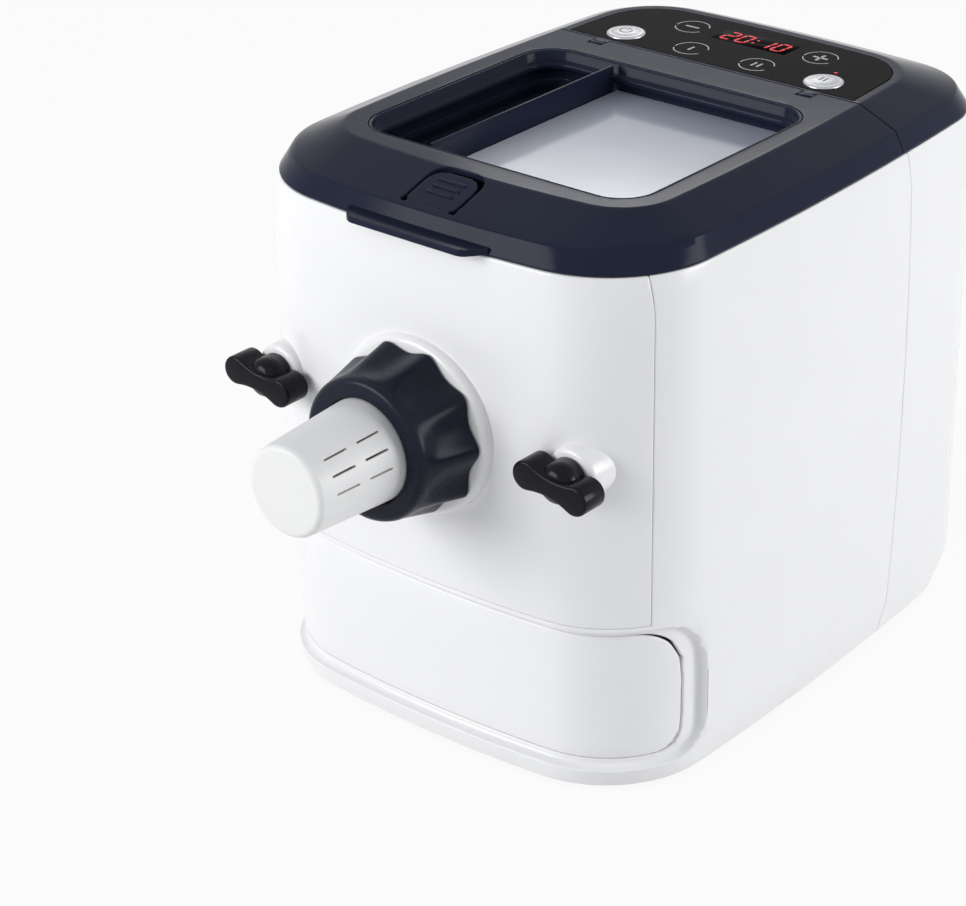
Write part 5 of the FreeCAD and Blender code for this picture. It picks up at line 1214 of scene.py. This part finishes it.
# %% key signs
INK = plastic("grey_ink", (0.10, 0.10, 0.11), (0.16, 0.16, 0.17), 0.4, 0.6, 1500.0, 0.05)
cap_top = span("power_button")[1].z + 0.03
marks = [arc_strip(-KEY_ACROSS, KEY_ROW, 3.0, 0.6, 120, 420, 30, cap_top),
         bar_strip(-KEY_ACROSS, KEY_ROW + 2.3, 0.6, 3.4, z=cap_top)]
power_mark = piece(join(*marks), "power_mark", "power_key", INK)
marks = [bar_strip(KEY_ACROSS + side * 1.2, KEY_ROW, 0.9, 4.4, z=cap_top) for side in (-1, 1)]
start_mark = piece(join(*marks), "start_mark", "start_key", INK)
print("key sign faces:", faces_of(power_mark, start_mark))

# %% [markdown]
# ## The display
# Seven bars make each digit. Each bar is a thin flat block, leaning a little, and the lit ones are picked by
# digit.

# %% display
SHOWN = "2010"
LIT = {"0": "abcdef", "1": "bc", "2": "abged"}
DIGIT_WIDTH = 5.4
DIGIT_HEIGHT = 10.4
STROKE = 1.25
BAR_GAP = 0.9
LEAN = 0.12
LEAN_DEGREES = 7
DIGIT_PLACES = (-15.0, -6.4, 6.4, 15.0)
DOT_RISE = 2.2
LIT_LEVEL = PRINT_LEVEL + 0.06
BARS = {"a": (0, 1, 0), "g": (0, 0, 0), "d": (0, -1, 0), "b": (1, 0.5, 90), "c": (1, -0.5, 90),
        "f": (-1, 0.5, 90), "e": (-1, -0.5, 90)}
DISPLAY_LOW, DISPLAY_HIGH = span("display_module")
display_row = (DISPLAY_LOW.y + DISPLAY_HIGH.y) / 2


def digit(character, x):
    """One lit digit at a place across."""
    parts = []
    for bar in LIT[character]:
        across, up, degrees = BARS[bar]
        length = DIGIT_HEIGHT / 2 - BAR_GAP if degrees else DIGIT_WIDTH - BAR_GAP
        place_x = x + across * DIGIT_WIDTH / 2 + up * DIGIT_HEIGHT / 2 * LEAN
        parts.append(bar_strip(place_x, display_row + up * DIGIT_HEIGHT / 2, length, STROKE,
                               degrees - (LEAN_DEGREES if degrees else 0), LIT_LEVEL))
    return parts


digits = []
for character, x in zip(SHOWN, DIGIT_PLACES):
    digits += digit(character, x)
for up in (-DOT_RISE, DOT_RISE):
    digits.append(bar_strip(up * LEAN, display_row + up, 1.3, 1.3, 0, LIT_LEVEL))
lit_digits = piece(join(*digits), "display_digits", "housing", RED)
DARK = plastic("display_dark", (0.002, 0.002, 0.003), (0.004, 0.003, 0.004), 0.12, 0.18, 400.0, 0.01, 1.03)
bm = block((DISPLAY_LOW.x, DISPLAY_HIGH.x), (DISPLAY_LOW.y, DISPLAY_HIGH.y),
           (PRINT_LEVEL - 0.1, PRINT_LEVEL), 0.03)
display_field = piece(bm, "display_field", "housing", DARK)
LIGHT_LOW, LIGHT_HIGH = span("status_light")
bm = move(turned([(0.0, 0.0), (0.9, 0.0), (0.9, 0.12), (0.0, 0.2)], 24), (LIGHT_LOW.x + LIGHT_HIGH.x) / 2,
          (LIGHT_LOW.y + LIGHT_HIGH.y) / 2, TOP)
status_dot = piece(bm, "status_dot", "housing", RED)
print("display faces:", faces_of(lit_digits, display_field, status_dot))

# %% [markdown]
# ## The nozzle
# A locking nut with ten hollow flutes holds the die. Each ring of the nut is a circle whose
# radius dips between the ridges. The dip fades to nothing near the smooth front ring.

# %% locking nut
NUT_LOW, NUT_HIGH = span("locking_nut")
NUT_BACK = NUT_HIGH.y
NUT_FRONT = NUT_LOW.y
LOBES = 10
NUT_RADIUS = NUT_HIGH.x
NUT_STEPS = 160


def flute(angle):
    """How deep the nut is hollowed at an angle, from 0 on a ridge to 1 between ridges."""
    ease = 0.45
    dip = math.sqrt(math.sin(LOBES * angle / 2) ** 2 + ease ** 2) - ease
    return dip / (math.sqrt(1 + ease ** 2) - ease)


def nut_ring(bm, y, radius, depth):
    """One ring of the nut about the nozzle's axis."""
    outline = []
    for i in range(NUT_STEPS):
        angle = 2 * math.pi * i / NUT_STEPS + math.pi / LOBES
        reach = radius - depth * flute(angle)
        outline.append(Vector((reach * math.cos(angle), reach * math.sin(angle))))
    made = ring(bm, outline, 0.0)
    bmesh.ops.rotate(bm, verts=made, cent=(0, 0, 0), matrix=Matrix.Rotation(math.radians(90), 3, "X"))
    bmesh.ops.translate(bm, vec=(0, y, NOZZLE), verts=made)
    return made


RIDGE = NUT_RADIUS - 0.2
TAPER = 0.234
FLUTED = ((0.5, 4.0), (1.6, 4.0), (6.0, 3.7), (11.0, 3.3), (16.0, 2.8), (20.0, 2.2), (23.5, 1.4),
          (26.5, 0.4), (28.5, 0.0))
NUT_SECTION = [(NUT_BACK, 31.5, 0.0), (NUT_BACK, RIDGE - 1.2, 3.7)]
NUT_SECTION += [(NUT_BACK - along, RIDGE - max(0.5 - along, 0) - along * TAPER, depth)
                for along, depth in FLUTED]
NUT_SECTION += [(NUT_FRONT + 2.2, RIDGE - 7.1, 0.0), (NUT_FRONT + 1.2, RIDGE - 7.5, 0.0),
                (NUT_FRONT + 0.4, RIDGE - 8.6, 0.0), (NUT_FRONT, RIDGE - 10.0, 0.0),
                (NUT_FRONT, 26.2, 0.0), (NUT_FRONT + 0.6, 25.3, 0.0), (NUT_FRONT + 2, 25.2, 0.0),
                (NUT_FRONT + 8, 25.2, 0.0), (NUT_FRONT + 8.1, 31.5, 0.0)]
bm = bmesh.new()
rings = [nut_ring(bm, *station) for station in NUT_SECTION]
bridge_round(bm, rings)
nut = piece(bm, "locking_nut_fluted", "nut", NAVY_DEEP, ["locking_nut"], 0, 0.2)
print("nut faces:", faces_of(nut))

# %% [markdown]
# The die is a tapered cup. Its slots are cut in the skin first, by angle and distance along the
# axis, and the wall is added afterwards, so each slot is a real opening.

# %% shaping die
DIE_LOW, DIE_HIGH = span("shaping_die")
DIE_ROOT = 25.0
DIE_TIP = 21.8
DIE_STEPS = 96
DIE_MEAN = 23.0
DIE_ROUND = 3.0
FLANGE_RADIUS = 29.5
FLANGE = 4.0
CUP_BACK = DIE_HIGH.y - FLANGE - 0.1
CUP_FRONT = DIE_LOW.y + DIE_ROUND + 0.4
SLOT_ROWS = 3
SLOT_FIRST = 5.0
SLOT_PITCH = 21.5
SLOT_HALF = 0.5
SLOT_LENGTH = 13.6
SLOT_STARTS = (-190.0, -170.0)
HOLE_RADIUS = 2.0
HOLE_TURN = 14.0
HOLE_FIRST = -188.0
HOLE_PITCH = 6.0
die_profile = [(FLANGE_RADIUS, DIE_HIGH.y), (FLANGE_RADIUS, DIE_HIGH.y - FLANGE), (DIE_ROOT, CUP_BACK)]
die_profile += [(DIE_ROOT + (DIE_TIP - DIE_ROOT) * i / 14, CUP_BACK + (CUP_FRONT - CUP_BACK) * i / 14)
                for i in range(1, 15)]
die_profile += [(DIE_TIP - DIE_ROUND + DIE_ROUND * math.cos(a),
                 DIE_LOW.y + DIE_ROUND - DIE_ROUND * math.sin(a))
                for a in (math.radians(15 * i) for i in range(1, 7))]
die_profile += [(12.0, DIE_LOW.y), (6.0, DIE_LOW.y), (0.0, DIE_LOW.y)]


def round_die(rise, run):
    """Distance round the die to a direction, in millimetres."""
    return math.atan2(rise, run) * DIE_MEAN


bm = turned([(radius, -y) for radius, y in die_profile], DIE_STEPS)
back_faces = [f for f in bm.faces if f.calc_center_median().z < -DIE_HIGH.y + 0.01]
bmesh.ops.delete(bm, geom=back_faces, context="FACES")
move(bm, 0, 0, NOZZLE, TO_FRONT)
for row in range(SLOT_ROWS):
    middle = math.radians(SLOT_FIRST + SLOT_PITCH * row) * DIE_MEAN
    for start in SLOT_STARTS:
        for flip in (1, -1):
            window(bm, lambda p, flip=flip: round_die(p.z - NOZZLE, p.x * flip), Y_OF,
                   (middle - SLOT_HALF, middle + SLOT_HALF), (start, start + SLOT_LENGTH),
                   lambda p, flip=flip: p.x * flip > 2)
for column in range(-2, 3):
    for row in range(7):
        around = column * math.radians(HOLE_TURN) * DIE_MEAN
        back = HOLE_FIRST + HOLE_PITCH * row

        def from_hole(p):
            return math.hypot(round_die(p.x, NOZZLE - p.z) - around, p.y - back)

        slit(bm, lambda p: from_hole(p) - HOLE_RADIUS, snap=0.2,
             near=lambda p: p.z < NOZZLE and from_hole(p) < HOLE_RADIUS + 3.5)
        drop(bm, lambda p: p.z < NOZZLE and from_hole(p) < HOLE_RADIUS)
bmesh.ops.recalc_face_normals(bm, faces=bm.faces)
die = piece(bm, "shaping_die_cup", "housing", SATIN, ["shaping_die"], 2.4, 0.25)
print("die faces:", faces_of(die))

# %% [markdown]
# A collar rings the nozzle's root, and a small cup stands behind each wing knob. Both have a
# bulged edge and an open back against the front panel, so each is a turned half-section.

# %% collar and bosses
COLLAR_RADIUS = span("front_collar")[1].x
collar_profile = [(30.4, 4.0), (30.4, -3.2), (31.2, -3.9), (32.4, -4.0), (COLLAR_RADIUS - 3.6, -4.0),
                  (COLLAR_RADIUS - 2.2, -3.6), (COLLAR_RADIUS - 1.0, -2.6), (COLLAR_RADIUS - 0.3, -1.2),
                  (COLLAR_RADIUS, 0.4), (COLLAR_RADIUS, 4.0)]
bm = move(turned([(r, -t) for r, t in collar_profile], 96), 0, FRONT, NOZZLE, TO_FRONT)
collar = piece(bm, "front_collar_ring", "housing", WHITE, ["front_collar"])
print("collar faces:", faces_of(collar))
BOSS_LOW, BOSS_HIGH = span("knob_boss_right")
BOSS_RADIUS = (BOSS_HIGH.x - BOSS_LOW.x) / 2
boss_profile = [(4.2, -BOSS_LOW.y), (BOSS_RADIUS - 2.2, -BOSS_LOW.y), (BOSS_RADIUS - 0.9, -BOSS_LOW.y - 0.5),
                (BOSS_RADIUS - 0.2, -BOSS_LOW.y - 1.5), (BOSS_RADIUS, -BOSS_LOW.y - 3.0),
                (BOSS_RADIUS, -BOSS_HIGH.y)]
for side, name in ((-1, "left"), (1, "right")):
    bm = move(turned(boss_profile, 64), side * KNOB_ACROSS, 0, NOZZLE, TO_FRONT)
    boss = piece(bm, f"knob_boss_{name}_cup", "housing", WHITE, [f"knob_boss_{name}"])
    print(name, "boss faces:", faces_of(boss))

# %% [markdown]
# ## The wing knobs
# Each is a bow-tie bar with round ends and hollow flanks, with a domed hub behind it. The
# outline is drawn once from two end arcs and two flank arcs, then extruded and bevelled.

# %% wing knobs
KNOB_END = 7.0
KNOB_WAIST = 4.6
KNOB_LENGTH = 41.0
KNOB_FRONT = -127.0
KNOB_DEPTH = 14.6
KNOB_TILT = math.radians(9.0)
KNOB_EDGE = 1.3
HUB_RADIUS = 9.6
STUD_RADIUS = 4.0


def bow_tie():
    """The bar's outline: (across, up) points, anticlockwise."""
    reach = KNOB_LENGTH / 2 - KNOB_END
    flank = (reach ** 2 + KNOB_WAIST ** 2 - KNOB_END ** 2) / (2 * (KNOB_END - KNOB_WAIST))
    lift = flank + KNOB_WAIST
    lean = math.atan2(lift, reach)
    end = [(reach + KNOB_END * math.cos(a), KNOB_END * math.sin(a))
           for a in (-(math.pi - lean) + 2 * (math.pi - lean) * i / 18 for i in range(19))]
    sweep = math.pi / 2 - lean
    top = [(flank * math.sin(a), lift - flank * math.cos(a))
           for a in (sweep - 2 * sweep * i / 14 for i in range(1, 14))]
    half = end + top
    return half + [(-x, -y) for x, y in half]


for side, name in ((-1, "left"), (1, "right")):
    bm = bmesh.new()
    face = bm.faces.new([bm.verts.new((x, KNOB_FRONT, z)) for x, z in bow_tie()])
    raise_faces(bm, [face], (0, KNOB_DEPTH, 0))
    bmesh.ops.recalc_face_normals(bm, faces=bm.faces)
    rims = [e for e in bm.edges if abs(e.verts[0].co.y - e.verts[1].co.y) < 0.01]
    bmesh.ops.bevel(bm, geom=rims, affect="EDGES", offset=KNOB_EDGE, segments=4, profile=0.5, material=-1)
    hub = turned([(0.0, 125.4), (3.0, 125.3), (6.0, 124.8), (8.0, 123.6), (9.2, 121.8), (HUB_RADIUS, 119.4),
                  (HUB_RADIUS, 112.4), (STUD_RADIUS, 112.2), (STUD_RADIUS, 84.0), (0.0, 84.0)], 48)
    knob = join(bm, move(hub, turn=TO_FRONT))
    move(knob, side * KNOB_ACROSS, 0, NOZZLE, Matrix.Rotation(KNOB_TILT, 4, "Y"))
    wing = piece(knob, f"wing_knob_{name}_bar", f"knob_{name}", BLACK, [f"wing_knob_{name}"])
    print(name, "wing knob faces:", faces_of(wing))

# %% [markdown]
# ## The inner pieces
# Deck, bowl, stirrer, drive and boards keep their frame shapes. Each one's own slot takes a
# finish made for it.

# %% inner finishes
KEPT = {
    GREY: ["base_plate", "lid_liner", "chassis_plate", "gear_cover", "cooling_fan", "lid_switch",
           "mains_inlet"],
    RUBBER: ["foot_front_left", "foot_front_right", "foot_rear_left", "foot_rear_right", "lid_gasket"],
    WHITE: ["top_deck"],
    BOWL: ["mixing_bowl"],
    SATIN: ["extrusion_barrel", "stirring_auger", "shaft_seal"],
    NAVY_DEEP: ["water_tray"],
    ACETAL: ["drive_gear"],
    GREEN: ["control_board", "power_board"],
    STEEL: ["output_shaft", "motor_shaft", "hinge_pin_left", "hinge_pin_right", "base_screws",
            "motor_case"],
    BRONZE: ["drive_bearing"],
    DARK: ["display_module"],
    RED: ["status_light"],
}
for finish, names in KEPT.items():
    for name in names:
        node = NODES[name]
        node.data.materials.clear()
        node.data.materials.append(finish)
print("frame nodes with a finish:", sum(len(names) for names in KEPT.values()))

# %% [markdown]
# ## Studio
# The room is a pale floor, an even sky and three soft lamps. The floor looks white to the
# camera and still keeps the machine's shadow.

# %% floor and sky
FLOOR_SHOWN = 0.92
FLOOR_HALF = 4.0
SKY_COLOUR = (0.93, 0.95, 1.0, 1.0)
SKY_STRENGTH = 0.44
PURE_WHITE = (1, 1, 1, 1)


def shown(tree):
    """A factor that is 1 for the rays that show a background: camera, glossy and transmission."""
    path = tree.nodes.new("ShaderNodeLightPath")
    total = path.outputs["Is Camera Ray"]
    for name in ("Is Glossy Ray", "Is Transmission Ray"):
        add = tree.nodes.new("ShaderNodeMath")
        add.operation = "ADD"
        add.use_clamp = True
        tree.links.new(total, add.inputs[0])
        tree.links.new(path.outputs[name], add.inputs[1])
        total = add.outputs[0]
    return total


FLOOR = Finish("studio_floor")
speck = FLOOR.noise(3.0, 2.0)
FLOOR.set(Base_Color=FLOOR.tint(speck, (0.74, 0.74, 0.745), (0.76, 0.76, 0.765)))
FLOOR.set(Roughness=speck * 0.1 + 0.55)
white = FLOOR.make("ShaderNodeEmission", None, {"Color": PURE_WHITE, "Strength": 1.0})
share = Field(FLOOR, shown(FLOOR.tree)) * FLOOR_SHOWN
lit = Field(FLOOR, FLOOR.shader.outputs[0])
mixed = FLOOR.make("ShaderNodeMixShader", None, {0: share, 1: lit, 2: white})
FLOOR.feed(FLOOR.tree.nodes["Material Output"].inputs["Surface"], mixed)
floor_mesh = bmesh.new()
bmesh.ops.create_grid(floor_mesh, x_segments=8, y_segments=8, size=FLOOR_HALF)
mesh = bpy.data.meshes.new("studio_floor")
floor_mesh.to_mesh(mesh)
floor_mesh.free()
mesh.materials.append(FLOOR.material)
floor_object = bpy.data.objects.new("studio_floor", mesh)
bpy.context.scene.collection.objects.link(floor_object)

world = bpy.data.worlds.new("studio_sky")
bpy.context.scene.world = world
world.use_nodes = True
sky = world.node_tree
back = sky.nodes["Background"]
back.inputs["Color"].default_value = SKY_COLOUR
back.inputs["Strength"].default_value = SKY_STRENGTH
seen = sky.nodes.new("ShaderNodeBackground")
seen.inputs["Color"].default_value = PURE_WHITE
choose = sky.nodes.new("ShaderNodeMixShader")
sky.links.new(shown(sky), choose.inputs[0])
sky.links.new(back.outputs[0], choose.inputs[1])
sky.links.new(seen.outputs[0], choose.inputs[2])
sky.links.new(choose.outputs[0], sky.nodes["World Output"].inputs["Surface"])
print("floor", FLOOR_HALF, "sky strength", SKY_STRENGTH)

# %% [markdown]
# A large key lamp stands at the front left, a second one at the right rear opens the shadows,
# and a small weak one puts the soft highlight on the flat top.

# %% lamps
def softbox(name, spot, target, width, height, power):
    """A large soft lamp that faces a target."""
    data = bpy.data.lights.new(name, "AREA")
    data.shape = "RECTANGLE"
    data.size = width
    data.size_y = height
    data.energy = power
    obj = bpy.data.objects.new(name, data)
    obj.location = spot
    obj.rotation_euler = (Vector(target) - Vector(spot)).to_track_quat("-Z", "Y").to_euler()
    bpy.context.scene.collection.objects.link(obj)


softbox("key_lamp", (-0.85, -1.7, 0.85), (0, 0, 0.15), 1.1, 0.9, 24.0)
softbox("side_lamp", (1.8, 0.9, 0.6), (0, 0, 0.15), 0.9, 1.0, 20.0)
softbox("top_lamp", (-0.80, 1.16, 0.92), (0, 0, 0.25), 0.4, 0.14, 0.8)
print("lamps:", len(bpy.data.lights))

# %% [markdown]
# ## Camera
# The photograph looks down from the machine's right front. Its place, tilt and lens were found
# from edges of known length.

# %% camera
CAMERA_SPOT = Vector((0.81028, -1.02398, 0.76362))
AZIMUTH = math.radians(40.26)
ELEVATION = math.radians(26.64)
ROLL = math.radians(-0.86)
FOCAL_PIXELS = 3011.6
IMAGE_WIDTH = 966
SENSOR = 36.0
away = Vector((math.sin(AZIMUTH) * math.cos(ELEVATION), -math.cos(AZIMUTH) * math.cos(ELEVATION),
               math.sin(ELEVATION)))
right = Vector((math.cos(AZIMUTH), math.sin(AZIMUTH), 0))
up = away.cross(right)
level_right = right * math.cos(ROLL) + up * math.sin(ROLL)
level_up = up * math.cos(ROLL) - right * math.sin(ROLL)
camera_data = bpy.data.cameras.new("camera")
camera_data.sensor_width = SENSOR
camera_data.lens = FOCAL_PIXELS / IMAGE_WIDTH * SENSOR
camera = bpy.data.objects.new("camera", camera_data)
camera.matrix_world = Matrix((
    (level_right.x, level_up.x, away.x, CAMERA_SPOT.x),
    (level_right.y, level_up.y, away.y, CAMERA_SPOT.y),
    (level_right.z, level_up.z, away.z, CAMERA_SPOT.z),
    (0, 0, 0, 1),
))
bpy.context.scene.collection.objects.link(camera)
bpy.context.scene.camera = camera
bpy.context.scene.view_settings.view_transform = "Standard"
print("lens", camera_data.lens)
